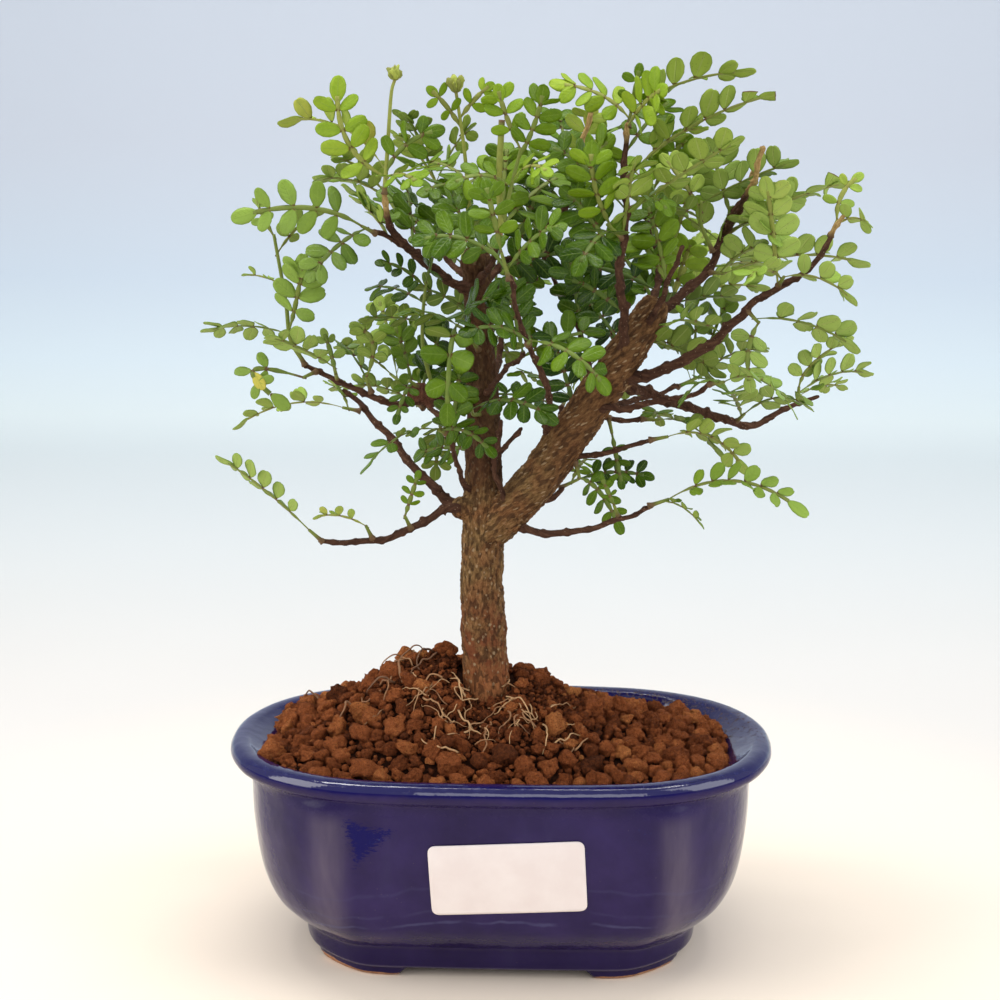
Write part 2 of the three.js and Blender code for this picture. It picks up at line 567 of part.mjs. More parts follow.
// The soil fills the pot's inside, and its top closes in rings towards the middle
const SOIL_RINGS = [1, 0.82, 0.62, 0.42, 0.22];
const SOIL_EDGE_INSET = WALL + 2.8;
const SOIL_EDGE_DIP = 1.5;

function soilSolid() {
  const steps = PLAN_STEPS / 2;
  const rings = [];
  INSIDE.filter((row) => row[0] === 0).forEach(([, z, inset]) => {
    rings.push(planRing(BODY_QUARTER, z === FLOOR_TOP ? z + GAP : z, inset + 1.5 * GAP, steps));
  });
  SOIL_RINGS.forEach((scale) => {
    rings.push(planRing(BODY_QUARTER, 0, SOIL_EDGE_INSET, steps).map((p) => {
      const x = p.x * scale;
      const y = p.y * scale;
      return new THREE.Vector3(x, y, soilHeight(x, y) - (scale === 1 ? SOIL_EDGE_DIP : 0));
    }));
  });
  return loftSolid(rings);
}

// Crumbs spread over the soil by the golden angle
const GOLDEN_ANGLE = Math.PI * (3 - Math.sqrt(5));
const GRAIN_EDGE = [16, 14.5];

function grainSolids() {
  const random = seededRandom(41);
  const grains = [];
  for (let i = 0; i < GRAIN_COUNT; i += 1) {
    const reach = Math.sqrt((i + 0.5) / GRAIN_COUNT);
    const radius = GRAIN_SIZE * (0.75 + 0.45 * random());
    const turn = i * GOLDEN_ANGLE;
    const x = reach * Math.cos(turn) * (RIM_HALF_WIDTH - GRAIN_EDGE[0]) + 2 * (random() - 0.5);
    const y = reach * Math.sin(turn) * (RIM_HALF_DEPTH - GRAIN_EDGE[1]) + 2 * (random() - 0.5);
    const crumb = new THREE.OctahedronGeometry(radius, 0);
    grains.push(lumpSolid([x, y, soilHeight(x, y) - 0.1 * radius], crumb, random));
  }
  return grains;
}

// Wood

function woodSolid(swell = 0) {
  const branches = Object.values(BRANCHES);
  const parts = branches.map(({ line, radii, sides = 5 }) => tubeSolid(line, radii, sides, swell));
  const random = seededRandom(7);
  KNOTS.forEach(([centre, radius]) => {
    parts.push(lumpSolid(centre, new THREE.IcosahedronGeometry(radius + swell, 0), random));
  });
  return wasm.Manifold.union(parts).simplify(SLIVER);
}

// Leaves

// A leaf runs along a bowed rib. Its frame at a place on the rib: point, direction, side and normal.
function leafFrame(leaf, place) {
  const middle = leaf.base.clone().add(leaf.tip).multiplyScalar(0.5).addScaledVector(leaf.bow, 2);
  const rest = 1 - place;
  const point = leaf.base.clone().multiplyScalar(rest * rest)
    .addScaledVector(middle, 2 * rest * place)
    .addScaledVector(leaf.tip, place * place);
  const along = middle.clone().sub(leaf.base).multiplyScalar(rest)
    .addScaledVector(leaf.tip.clone().sub(middle), place)
    .normalize();
  const side = new THREE.Vector3().crossVectors(along, leaf.face).normalize();
  const normal = new THREE.Vector3().crossVectors(side, along);
  return { point, side, normal };
}

// Samples over the blade, for keeping leaves of different shoots apart
const SAMPLE_PLACES = [0.2, 0.32, 0.44, 0.56, 0.68, 0.8, 0.9, 1];
const SAMPLE_SIDES = [-1, -0.35, 0.35, 1];

function leafSamples(leaf) {
  return SAMPLE_PLACES.flatMap((place) => {
    const { point, side } = leafFrame(leaf, place);
    const reach = leaf.halfWidth * (place > 0.95 ? 0.4 : 1);
    return SAMPLE_SIDES.map((share) => point.clone().addScaledVector(side, share * reach));
  });
}

// Whether a leaf is clear of the bark, of the leaves of its own shoot away from the stem, and of the
// leaves and stems of other shoots
const SISTER_START = 2 * SAMPLE_SIDES.length;

function isClear(samples, sisters, others) {
  const outer = samples.slice(SISTER_START);
  const crowded = sisters.some((leaf) => leaf !== null && leaf.samples.slice(SISTER_START)
    .some((q) => outer.some((p) => p.distanceTo(q) < SISTER_CLEARANCE)));
  if (crowded) return false;
  if (samples.slice(SAMPLE_SIDES.length).some((p) => distanceToBark(p) < BARK_CLEARANCE)) return false;
  const radii = [STEM_RADIUS, STEM_RADIUS];
  return !others.some((shoot) => samples.some((p) => (
    distanceToSurface(p, shoot.stem, radii) < BARK_CLEARANCE
    || shoot.samples.some((q) => p.distanceTo(q) < LEAF_CLEARANCE))));
}

// Leaf that the viewer sees: its tip moves back or forward until it is clear
const DEPTH_TRIES = [0, 3, -3, 6, -6, 9, -9, 12, -12, 15, -15];

function seenLeaf(stem, row, sisters, others) {
  const [place, tip, bow, face, pairs] = row;
  const base = pointAlong(stem, place);
  const length = base.distanceTo(vec(tip));
  for (const shift of DEPTH_TRIES) {
    const moved = vec(tip).add(new THREE.Vector3(0, shift, 0));
    const outer = pairs > 3 ? 3 : 2;
    const leaf = { base, tip: moved, bow: vec(bow), face: vec(face), pairs, outer };
    leaf.halfWidth = LEAF_HALF_WIDTH * Math.min(1, length / FULL_LEAF);
    leaf.samples = leafSamples(leaf);
    if (isClear(leaf.samples, sisters, others)) return leaf;
  }
  return null;
}

// Leaf placed by rule, spun round its stem by the golden angle, with several tries
const FILL_TRIES = 40;

function fillLeaf(stem, index, count, outward, random, sisters, others) {
  const base = pointAlong(stem, 0.3 + (0.7 * (index + 1)) / count);
  const axis = vec(stem[stem.length - 1]).sub(vec(stem[0])).normalize();
  const acrossOne = new THREE.Vector3().crossVectors(axis, new THREE.Vector3(0.1, 0.2, 1)).normalize();
  const acrossTwo = new THREE.Vector3().crossVectors(axis, acrossOne);
  for (let attempt = 0; attempt < FILL_TRIES; attempt += 1) {
    const spin = index * 2.4 + attempt * 0.7 + random();
    const spread = 0.45 + 0.8 * random() - (index === count - 1 ? 0.35 : 0);
    const length = 19 + 9 * random();
    const roll = [random() - 0.5, random() - 0.5, random() - 0.5];
    const direction = axis.clone().multiplyScalar(Math.cos(spread))
      .addScaledVector(acrossOne, Math.sin(spread) * Math.cos(spin))
      .addScaledVector(acrossTwo, Math.sin(spread) * Math.sin(spin));
    const face = outward.clone().multiplyScalar(0.5)
      .add(new THREE.Vector3(0, 0, 0.8))
      .addScaledVector(vec(roll), 0.8);
    const tip = base.clone().addScaledVector(direction, length);
    const leaf = { base, tip, face, pairs: 2, outer: 2 };
    leaf.bow = new THREE.Vector3(0, 0, 0.12 * length);
    leaf.halfWidth = LEAF_HALF_WIDTH * 0.92;
    leaf.samples = leafSamples(leaf);
    const reach = leaf.tip.clone().sub(vec(CROWN_CENTRE)).divide(vec(CROWN_REACH));
    if (reach.length() < 1.12 && isClear(leaf.samples, sisters, others)) return leaf;
  }
  return null;
}

function shootsOfTree() {
  const shoots = [];
  const keep = (stem, leaves, bud) => {
    const kept = leaves.filter((leaf) => leaf !== null);
    if (kept.length === 0) return;
    shoots.push({ stem, bud, leaves: kept, samples: kept.flatMap((leaf) => leaf.samples) });
  };
  SEEN_SHOOTS.forEach(({ stem: given, bud, leaves }) => {
    const stem = freeStem(given);
    const grown = [];
    leaves.forEach((row) => grown.push(seenLeaf(stem, row, grown, shoots)));
    keep(stem, grown, bud);
  });
  FILL_SHOOTS.forEach(([branch, place, count], index) => {
    const random = seededRandom(101 + 7919 * index);
    const line = BRANCHES[branch].line;
    const start = pointAlong(line, place);
    const outward = start.clone().sub(vec(CROWN_CENTRE)).normalize();
    const along = vec(line[line.length - 1]).sub(vec(line[line.length - 2])).normalize();
    const direction = outward.clone().multiplyScalar(0.7).addScaledVector(along, 0.5)
      .add(new THREE.Vector3(0, 0, 0.45)).normalize();
    const end = start.clone().addScaledVector(direction, 9 + 5 * random());
    const stem = freeStem([start.toArray(), end.toArray()]);
    const leaves = [];
    for (let i = 0; i < count; i += 1) {
      leaves.push(fillLeaf(stem, i, count, outward, random, leaves, shoots));
    }
    keep(stem, leaves);
  });
  return shoots;
}

// Outline of one leaflet between two notches: share of the pitch and share of the half width
const LEAFLET_OUTLINES = {
  2: [[0.3, 0.86], [1.02, 0.94]],
  3: [[0.24, 0.7], [0.68, 1], [1.08, 0.76]],
};
const TERMINAL_OUTLINE = [[0.4, 0.62], [1, 0], [0.4, -0.62]];
const TERMINAL_WIDTH = 0.8;
const CUPPING = 0.14;

// Thin arched blade whose outline is cut to the rib between leaflets
function leafSolid(leaf) {
  const middle = [];
  const faces = [];
  const add = (place, across) => {
    const { point, side, normal } = leafFrame(leaf, place);
    const lift = CUPPING * Math.abs(across);
    middle.push([point.addScaledVector(side, across).addScaledVector(normal, lift), normal]);
    return middle.length - 1;
  };
  const addFan = (fan, flip) => {
    for (let k = 1; k < fan.length - 1; k += 1) {
      faces.push(flip ? [fan[0], fan[k + 1], fan[k]] : [fan[0], fan[k], fan[k + 1]]);
    }
  };
  const pitch = (LAST_NOTCH - PETIOLE) / leaf.pairs;
  const leftSide = [add(0, PETIOLE_HALF_WIDTH), add(PETIOLE, RIB_HALF_WIDTH)];
  const rightSide = [add(0, -PETIOLE_HALF_WIDTH), add(PETIOLE, -RIB_HALF_WIDTH)];
  faces.push([leftSide[0], leftSide[1], rightSide[1]], [leftSide[0], rightSide[1], rightSide[0]]);
  for (let i = 0; i < leaf.pairs; i += 1) {
    const notch = PETIOLE + i * pitch;
    const swell = 0.82 + 0.18 * Math.sin((Math.PI * (i + 0.7)) / leaf.pairs);
    const left = leftSide[leftSide.length - 1];
    const right = rightSide[rightSide.length - 1];
    [leftSide, rightSide].forEach((edge) => {
      const sign = edge === leftSide ? 1 : -1;
      const outer = LEAFLET_OUTLINES[leaf.outer].map(([along, across]) => (
        add(notch + along * pitch, sign * across * leaf.halfWidth * swell)));
      const end = add(notch + pitch, sign * RIB_HALF_WIDTH);
      addFan([edge[edge.length - 1], ...outer, end], sign < 0);
      edge.push(...outer, end);
    });
    addFan([left, leftSide[leftSide.length - 1], rightSide[rightSide.length - 1], right], false);
  }
  const ends = TERMINAL_OUTLINE.map(([along, across]) => (
    add(LAST_NOTCH + along * (1 - LAST_NOTCH), across * leaf.halfWidth * TERMINAL_WIDTH)));
  addFan([leftSide[leftSide.length - 1], ...ends, rightSide[rightSide.length - 1]], false);
  return plateSolid(middle, faces, [...leftSide, ...ends, ...rightSide.reverse()]);
}

// Plate of even thickness on both sides of a surface
function plateSolid(middle, faces, loop) {
  const count = middle.length;
  const half = BLADE_THICKNESS / 2;
  const top = middle.map(([point, normal]) => point.clone().addScaledVector(normal, half));
  const bottom = middle.map(([point, normal]) => point.clone().addScaledVector(normal, -half));
  const all = faces.flatMap(([a, b, c]) => [[a, b, c], [a + count, c + count, b + count]]);
  loop.forEach((a, i) => {
    const b = loop[(i + 1) % loop.length];
    all.push([a + count, b + count, b], [a + count, b, a]);
  });
  return solidOf(geometryOf([...top, ...bottom], all));
}

function shootSolid(shoot) {
  const random = seededRandom(17);
  const radii = [STEM_RADIUS, STEM_RADIUS * 0.8];
  const parts = [tubeSolid(shoot.stem, radii, 4)];
  if (shoot.bud) {
    const bud = new THREE.OctahedronGeometry(shoot.bud, 0);
    parts.push(lumpSolid(shoot.stem[shoot.stem.length - 1], bud, random));
  }
  shoot.leaves.forEach((leaf) => parts.push(leafSolid(leaf)));
  return largestBody(wasm.Manifold.union(parts).subtract(barkAndGap).simplify(SLIVER));
}

// Assembly

const surface = (color, roughness) => new THREE.MeshStandardMaterial({ color, roughness, metalness: 0 });
const MATERIALS = {
  glaze: surface(0x1c2163, 0.15),
  plastic: surface(0x1a1a1a, 0.6),
  soil: surface(0x6e3a1c, 0.95),
  bark: surface(0x6b4a35, 0.85),
  leaf: surface(0x5f9a2f, 0.45),
  paper: surface(0xf6ece8, 0.6),
};

const bark = woodSolid();
const barkAndGap = woodSolid(GAP);
const meshPockets = [-1, 1].map((side) => boxSolid(
  MESH_SIDE + 2 * GAP, MESH_SIDE + 2 * GAP, 2 * (MESH_THICKNESS + GAP),
  side * HOLE_OFFSET, 0, FLOOR_TOP + GAP,
));
const soil = largestBody(
  wasm.Manifold.union([soilSolid(), ...grainSolids()])
    .subtract(wasm.Manifold.union([barkAndGap, ...meshPockets])),
).simplify(SLIVER);

const tree = new THREE.Group();
tree.add(meshOf('pot', potSolid(), MATERIALS.glaze));
tree.add(meshOf('drain_mesh_left', drainMeshSolid(-1), MATERIALS.plastic));
tree.add(meshOf('drain_mesh_right', drainMeshSolid(1), MATERIALS.plastic));
tree.add(meshOf('soil', soil, MATERIALS.soil));
tree.add(meshOf('tree_wood', bark, MATERIALS.bark));
tree.add(meshOf('sticker', stickerSolid(), MATERIALS.paper));
shootsOfTree().forEach((shoot, i) => {
  const name = `leafy_shoot_${String(i + 1).padStart(2, '0')}`;
  tree.add(meshOf(name, shootSolid(shoot), MATERIALS.leaf));
});

// The whole stands with the middle of its outer box over the origin
const reach = new THREE.Box3().setFromObject(tree);
const middle = reach.getCenter(new THREE.Vector3());
tree.position.set(-middle.x, -middle.y, -reach.min.z);

const bonsai = new THREE.Group();
bonsai.add(tree);

export default bonsai;
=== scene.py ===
# A small pepper tree bonsai in a cobalt-glazed pot: fine surfaces and finishes over the solid model.
# The tree is described in millimetres in the pot's own frame, -Y towards the viewer, and goes to the
# row frame in metres by to_row().

import math
from itertools import product

import bmesh
import bpy
import numpy as np
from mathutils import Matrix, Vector, noise


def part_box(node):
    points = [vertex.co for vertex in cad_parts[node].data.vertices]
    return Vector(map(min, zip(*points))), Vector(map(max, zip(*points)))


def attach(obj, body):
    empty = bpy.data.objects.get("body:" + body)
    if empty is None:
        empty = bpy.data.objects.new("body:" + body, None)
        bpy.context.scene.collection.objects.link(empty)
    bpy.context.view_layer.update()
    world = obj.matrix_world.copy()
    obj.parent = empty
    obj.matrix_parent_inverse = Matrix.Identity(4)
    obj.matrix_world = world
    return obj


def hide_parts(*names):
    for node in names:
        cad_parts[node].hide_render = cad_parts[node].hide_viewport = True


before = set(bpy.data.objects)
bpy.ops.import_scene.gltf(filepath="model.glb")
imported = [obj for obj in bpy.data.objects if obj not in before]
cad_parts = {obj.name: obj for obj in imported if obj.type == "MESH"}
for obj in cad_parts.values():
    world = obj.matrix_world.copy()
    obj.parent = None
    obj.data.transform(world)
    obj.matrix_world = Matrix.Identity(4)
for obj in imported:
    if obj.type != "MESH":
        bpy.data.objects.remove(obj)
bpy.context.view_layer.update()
POT_LOW, POT_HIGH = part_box("pot")
SHIFT = np.array([(POT_LOW.x + POT_HIGH.x) / 2, (POT_LOW.y + POT_HIGH.y) / 2, 0.0])


def to_row(points):
    return np.asarray(points, float) / 1000 + SHIFT


# ---- camera ----

CAMERA_AZIMUTH = math.radians(2.5)
CAMERA_PITCH = math.radians(12.44)
CAMERA_DISTANCE = 575
CAMERA_HEIGHT = 253
CAMERA_MIDDLE = -0.2
SENSOR = 36
CAMERA_LENS = SENSOR * 2.163


def make_camera():
    data = bpy.data.cameras.new("camera")
    data.sensor_width = SENSOR
    data.lens = CAMERA_LENS
    data.clip_start = 0.01
    camera = bpy.data.objects.new("camera", data)
    place = [
        CAMERA_MIDDLE + CAMERA_DISTANCE * math.sin(CAMERA_AZIMUTH),
        -CAMERA_DISTANCE * math.cos(CAMERA_AZIMUTH),
        CAMERA_HEIGHT,
    ]
    camera.location = Vector(to_row(place))
    ahead = Vector((
        -math.sin(CAMERA_AZIMUTH) * math.cos(CAMERA_PITCH),
        math.cos(CAMERA_AZIMUTH) * math.cos(CAMERA_PITCH),
        -math.sin(CAMERA_PITCH),
    ))
    camera.rotation_mode = "QUATERNION"
    camera.rotation_quaternion = ahead.to_track_quat("-Z", "Y")
    bpy.context.scene.collection.objects.link(camera)
    bpy.context.scene.camera = camera


make_camera()
bpy.context.scene.view_settings.view_transform = "Standard"


# ---- meshes ----

class Patchwork:
    """Points, faces, face materials and point values of one mesh, gathered patch by patch."""

    def __init__(self):
        self.points, self.faces, self.slots, self.values = [], [], [], {}
        self.count = 0

    def add(self, points, faces, slot=0, **values):
        points = np.asarray(points, float)
        self.points.append(points)
        self.faces.append(np.asarray(faces) + self.count)
        self.slots.append(np.full(len(faces), slot) if np.isscalar(slot) else np.asarray(slot))
        for key, value in values.items():
            spread = np.broadcast_to(np.asarray(value, float), (len(points),) + np.shape(value)[1:])
            self.values.setdefault(key, []).append(spread)
        self.count += len(points)

    def add_rings(self, points, size, slot=0, **values):
        """Closed stack of rings of one size, its first and last ring shut by a face each."""
        start, rows = self.count, len(points) // size
        self.add(points, grid_faces(rows, size), slot, **values)
        last = (rows - 1) * size
        self.faces.append(np.array([range(size)[::-1], range(last, last + size)]) + start)
        self.slots.append(np.full(2, slot if np.isscalar(slot) else 0))

    def build(self, name, materials, smooth=True):
        mesh = bpy.data.meshes.new(name)
        points = to_row(np.concatenate(self.points))
        faces = [list(map(int, f)) for block in self.faces for f in block]
        mesh.from_pydata(points.tolist(), [], faces)
        for material in materials:
            mesh.materials.append(material)
        mesh.polygons.foreach_set("material_index", np.concatenate(self.slots).astype(np.int32))
        mesh.polygons.foreach_set("use_smooth", np.full(len(faces), smooth))
        for key, blocks in self.values.items():
            set_values(mesh, key, np.concatenate(blocks))
        mesh.update()
        piece = bpy.data.objects.new(name, mesh)
        bpy.context.scene.collection.objects.link(piece)
        return piece


def set_values(mesh, key, data):
    """A value or a vector at each point, for the material to read."""
    kind, field = ("FLOAT", "value") if data.ndim == 1 else ("FLOAT_VECTOR", "vector")
    mesh.attributes.new(key, kind, "POINT").data.foreach_set(field, data.astype(np.float32).ravel())


def finish_piece(piece, slot, *nodes):
    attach(piece, "root")
    if nodes:
        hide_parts(*nodes)
    return piece


def grid_faces(rows, columns, closed=True):
    """Quads over a grid of points stored row by row, the columns running round if closed."""
    faces = []
    for r in range(rows - 1):
        for c in range(columns if closed else columns - 1):
            d = (c + 1) % columns
            a = r * columns
            faces.append((a + c, a + d, a + columns + d, a + columns + c))
    return faces


def between(a, b, c, d, t):
    """Point of a Catmull-Rom curve between b and c."""
    square, cube = 2 * a - 5 * b + 4 * c - d, 3 * b - a - 3 * c + d
    return 0.5 * (2 * b + (c - a) * t + square * t ** 2 + cube * t ** 3)


def smooth_line(points, step):
    """Catmull-Rom line through the points, and the place of each of its points in the given list."""
    points = np.asarray(points, float)
    padded = np.vstack([2 * points[0] - points[1], points, 2 * points[-1] - points[-2]])
    line, places = [], []
    for i in range(len(points) - 1):
        a, b, c, d = padded[i:i + 4]
        count = max(1, int(round(np.linalg.norm(c - b) / step)))
        for k in range(count):
            t = k / count
            line.append(between(a, b, c, d, t))
            places.append(i + t)
    line.append(points[-1])
    places.append(len(points) - 1)
    return np.array(line), np.array(places)


def frames_along(line):
    """Direction and two cross directions at each point, turning as little as possible."""
    along = np.gradient(line, axis=0)
    along /= np.linalg.norm(along, axis=1)[:, None]
    across = np.zeros_like(line)
    guide = np.array([0.31, 0.52, 0.79])
    for i, direction in enumerate(along):
        guide = guide - direction * guide.dot(direction)
        guide /= np.linalg.norm(guide)
        across[i] = guide
    return along, across, np.cross(along, across)


def tube(line, radii, sides, flat=1.0, across=None):
    """Points of a tube, ring by ring, with its own cross directions where given."""
    one, two = across or frames_along(line)[1:]
    turn = np.linspace(0, 2 * np.pi, sides, endpoint=False)
    ring = np.cos(turn)[None, :, None] * one[:, None] + flat * np.sin(turn)[None, :, None] * two[:, None]
    return (line[:, None] + ring * np.asarray(radii).reshape(len(line), -1, 1)).reshape(-1, 3)


# ---- node materials ----

class Finish:
    """A node material with short calls for the nodes used here. Coordinates are millimetres."""

    def __init__(self, name, roughness=0.5, **constants):
        self.material = bpy.data.materials.new(name)
        self.material.use_nodes = True
        self.nodes = self.material.node_tree.nodes
        self.links = self.material.node_tree.links
        self.shader = self.nodes["Principled BSDF"]
        self.shader.inputs["Roughness"].default_value = roughness
        for key, value in constants.items():
            self.shader.inputs[key.replace("_", " ")].default_value = value
        source = self.node("ShaderNodeTexCoord").outputs["Object"]
        moved = self.node("ShaderNodeVectorMath", operation="SUBTRACT")
        self.wire(source, moved.inputs[0])
        moved.inputs[1].default_value = SHIFT
        scaled = self.node("ShaderNodeVectorMath", operation="SCALE")
        self.wire(moved.outputs[0], scaled.inputs[0])
        scaled.inputs["Scale"].default_value = 1000
        self.place = scaled.outputs[0]

    def node(self, kind, **settings):
        made = self.nodes.new(kind)
        for key, value in settings.items():
            setattr(made, key, value)
        return made

    def wire(self, value, socket):
        if isinstance(value, bpy.types.NodeSocket):
            self.links.new(value, socket)
        elif value is not None:
            socket.default_value = value

    def attribute(self, name, output="Fac"):
        return self.node("ShaderNodeAttribute", attribute_name=name).outputs[output]

    def stretch(self, scale, vector=None):
        mapping = self.node("ShaderNodeMapping")
        self.wire(vector or self.place, mapping.inputs["Vector"])
        mapping.inputs["Scale"].default_value = scale
        return mapping.outputs[0]

    def noise(self, scale, detail=3.0, roughness=0.55, vector=None):
        made = self.node("ShaderNodeTexNoise")
        self.wire(vector or self.place, made.inputs["Vector"])
        for name, number in (("Scale", scale), ("Detail", detail), ("Roughness", roughness)):
            made.inputs[name].default_value = number
        return made.outputs[0]

    def cells(self, scale, vector=None):
        """Distance to the middle of the nearest cell."""
        made = self.node("ShaderNodeTexVoronoi")
        self.wire(vector or self.place, made.inputs["Vector"])
        made.inputs["Scale"].default_value = scale
        return made.outputs["Distance"]

    def ramp(self, value, *stops):
        made = self.node("ShaderNodeValToRGB")
        self.wire(value, made.inputs[0])
        elements = made.color_ramp.elements
        while len(elements) < len(stops):
            elements.new(0.5)
        for element, (position, color) in zip(elements, stops):
            element.position = position
            color = (color,) * 3 if np.isscalar(color) else color
            element.color = (*color, 1)
        return made.outputs["Color"]

    def range(self, value, low, high, out_low=0.0, out_high=1.0):
        made = self.node("ShaderNodeMapRange", interpolation_type="SMOOTHSTEP")
        self.wire(value, made.inputs[0])
        for i, number in enumerate((low, high, out_low, out_high)):
            made.inputs[i + 1].default_value = number
        return made.outputs[0]

    def math(self, operation, a, b=None):
        made = self.node("ShaderNodeMath", operation=operation)
        self.wire(a, made.inputs[0])
        self.wire(b, made.inputs[1])
        return made.outputs[0]

    def mul(self, first, *others):
        for other in others:
            first = self.math("MULTIPLY", first, other)
        return first

    def add(self, a, b):
        return self.math("ADD", a, b)

    def sub(self, a, b):
        return self.math("SUBTRACT", a, b)

    def size(self, value):
        return self.math("ABSOLUTE", value)

    def sway(self, value, reach, middle=0.5):
        """Departure of a noise from its middle, times its reach."""
        return self.mul(self.sub(value, middle), reach)

    def mix(self, share, a, b):
        made = self.node("ShaderNodeMix", data_type="RGBA")
        self.wire(share, made.inputs[0])
        for value, socket in ((a, made.inputs[6]), (b, made.inputs[7])):
            self.wire((*value, 1) if isinstance(value, tuple) else value, socket)
        return made.outputs[2]

    def split(self, vector=None):
        made = self.node("ShaderNodeSeparateXYZ")
        self.wire(vector or self.place, made.inputs[0])
        return made.outputs

    def bump(self, height, strength, distance, normal=None):
        made = self.node("ShaderNodeBump")
        self.wire(height, made.inputs["Height"])
        made.inputs["Strength"].default_value = strength
        made.inputs["Distance"].default_value = distance / 1000
        self.wire(normal, made.inputs["Normal"])
        return made.outputs[0]

    def set(self, **sockets):
        for key, value in sockets.items():
            self.wire(value, self.shader.inputs[key.replace("_", " ")])
        return self.material


# ---- pot ----

RIM_HALF_WIDTH = 75
RIM_HALF_DEPTH = 46.5
POT_HEIGHT = 60
WALL = 5
FLOOR_TOP = 7
FOOT_HEIGHT = 2.7
FOOT_INNER = (27.4, 17.9)
HOLE_RADIUS = 6
HOLE_OFFSET = 30
HOLE_SIDES = 48
# The foot is shorter than the wall's plan by this share, and the share goes to nothing between these heights
FOOT_TAPER = 0.03
TAPER_HEIGHTS = (7, 13)
# Below this height the wall is cut into four feet, whose inner edges start this far in and are this wide
FOOT_BAND = 4.0
FOOT_EASE = (1.2, 2.6)
# From this height on the rim's glossier glaze covers the pot
RIM_GLAZE_HEIGHT = 56.9
PLAN_POINTS = 200
RIM_QUARTER = [
    (1, 0), (0.992, 0.19), (0.962, 0.37), (0.908, 0.55), (0.822, 0.715), (0.702, 0.85),
    (0.548, 0.945), (0.37, 0.985), (0.2, 0.997), (0.08, 1), (0, 1),
]
BODY_QUARTER = [
    (0.92, 0), (0.915, 0.17), (0.895, 0.33), (0.855, 0.5), (0.79, 0.66), (0.71, 0.8),
    (0.625, 0.9), (0.53, 0.935), (0.33, 0.945), (0.14, 0.95), (0, 0.95),
]
SHARE_STRETCH = 40
PROFILE_STEP = 0.9
# Share of the rim's plan, height and inset, from the foot over the rim and down to the floor
POT_PROFILE = [
    (0, 0, 15.7), (0, 0.35, 15.0), (0, 1.2, 14.6), (0, 2.3, 14.5), (0, 2.7, 14.3), (0, 3.0, 13.8),
    (0, 3.5, 13.6), (0, 6, 13.3), (0, 7.6, 13.3), (0, 9.2, 12.7), (0, 12, 10), (0, 17, 5.6),
    (0, 25, 2.4), (0, 38, 0.4), (0, 49, 0), (0.08, 52, 0.1), (0.45, 53.8, 0.7),
    (0.85, 54.5, 1.0), (0.97, 55.3, 0.45), (1, 56.6, 0), (1, 57.9, 0.1), (1, 59, 0.7), (1, 59.8, 1.8),
    (1, 60, 3.2), (1, 59.8, 4.6), (0.95, 59.1, 5.6), (0.45, 57.7, 6.1), (0.05, 56.2, 6.4), (0, 54, 6.6),
    (0, 50, 6.4), (0, 45, 5.6), (0, 38, 5.8), (0, 24, 7.5), (0, 14, 11.5), (0, 8, 15), (0, FLOOR_TOP, 17),
]


def closed_curve(quarter, count):
    """Smooth closed plan through a quarter's points and their mirrors, counter-clockwise."""
    signs = ((1, 1, 1), (-1, 1, -1), (-1, -1, 1), (1, -1, -1))
    loop = np.array([(i * u, j * v) for i, j, way in signs for u, v in quarter[::way][:-1]], float)
    size = len(loop)
    at = np.arange(count) / count * size
    low = at.astype(int)
    t = (at - low)[:, None]
    return between(*(loop[(low + k) % size] for k in (-1, 0, 1, 2)), t)


BODY_PLAN = closed_curve(BODY_QUARTER, PLAN_POINTS)
RIM_PLAN = closed_curve(RIM_QUARTER, PLAN_POINTS)


def plan_ring(share, z, inset):
    size = np.array([RIM_HALF_WIDTH - inset * 1.02, RIM_HALF_DEPTH - inset])
    plan = ((1 - share) * BODY_PLAN + share * RIM_PLAN) * size
    return np.column_stack([plan, np.broadcast_to(z, len(plan))])


def smoothstep(low, high, value):
    share = np.clip((value - low) / (high - low), 0, 1)
    return share * share * (3 - 2 * share)


def foot_gap(x, y):
    """Height of the underside: 0 on the four feet and FOOT_HEIGHT between them."""
    start, width = FOOT_EASE
    over = [np.clip((np.abs(p) - inner + start) / width, 0, 1) for p, inner in zip((x, y), FOOT_INNER)]
    return FOOT_HEIGHT * (1 - np.sqrt(1 - (1 - over[0]) ** 2) * np.sqrt(1 - (1 - over[1]) ** 2))


def smooth_profile(rows):
    """Smooth profile in short steps; the plan's share is stretched so that it counts in them."""
    stretched = np.array([SHARE_STRETCH, 1, 1])
    return smooth_line(np.array(rows) * stretched, PROFILE_STEP)[0] / stretched


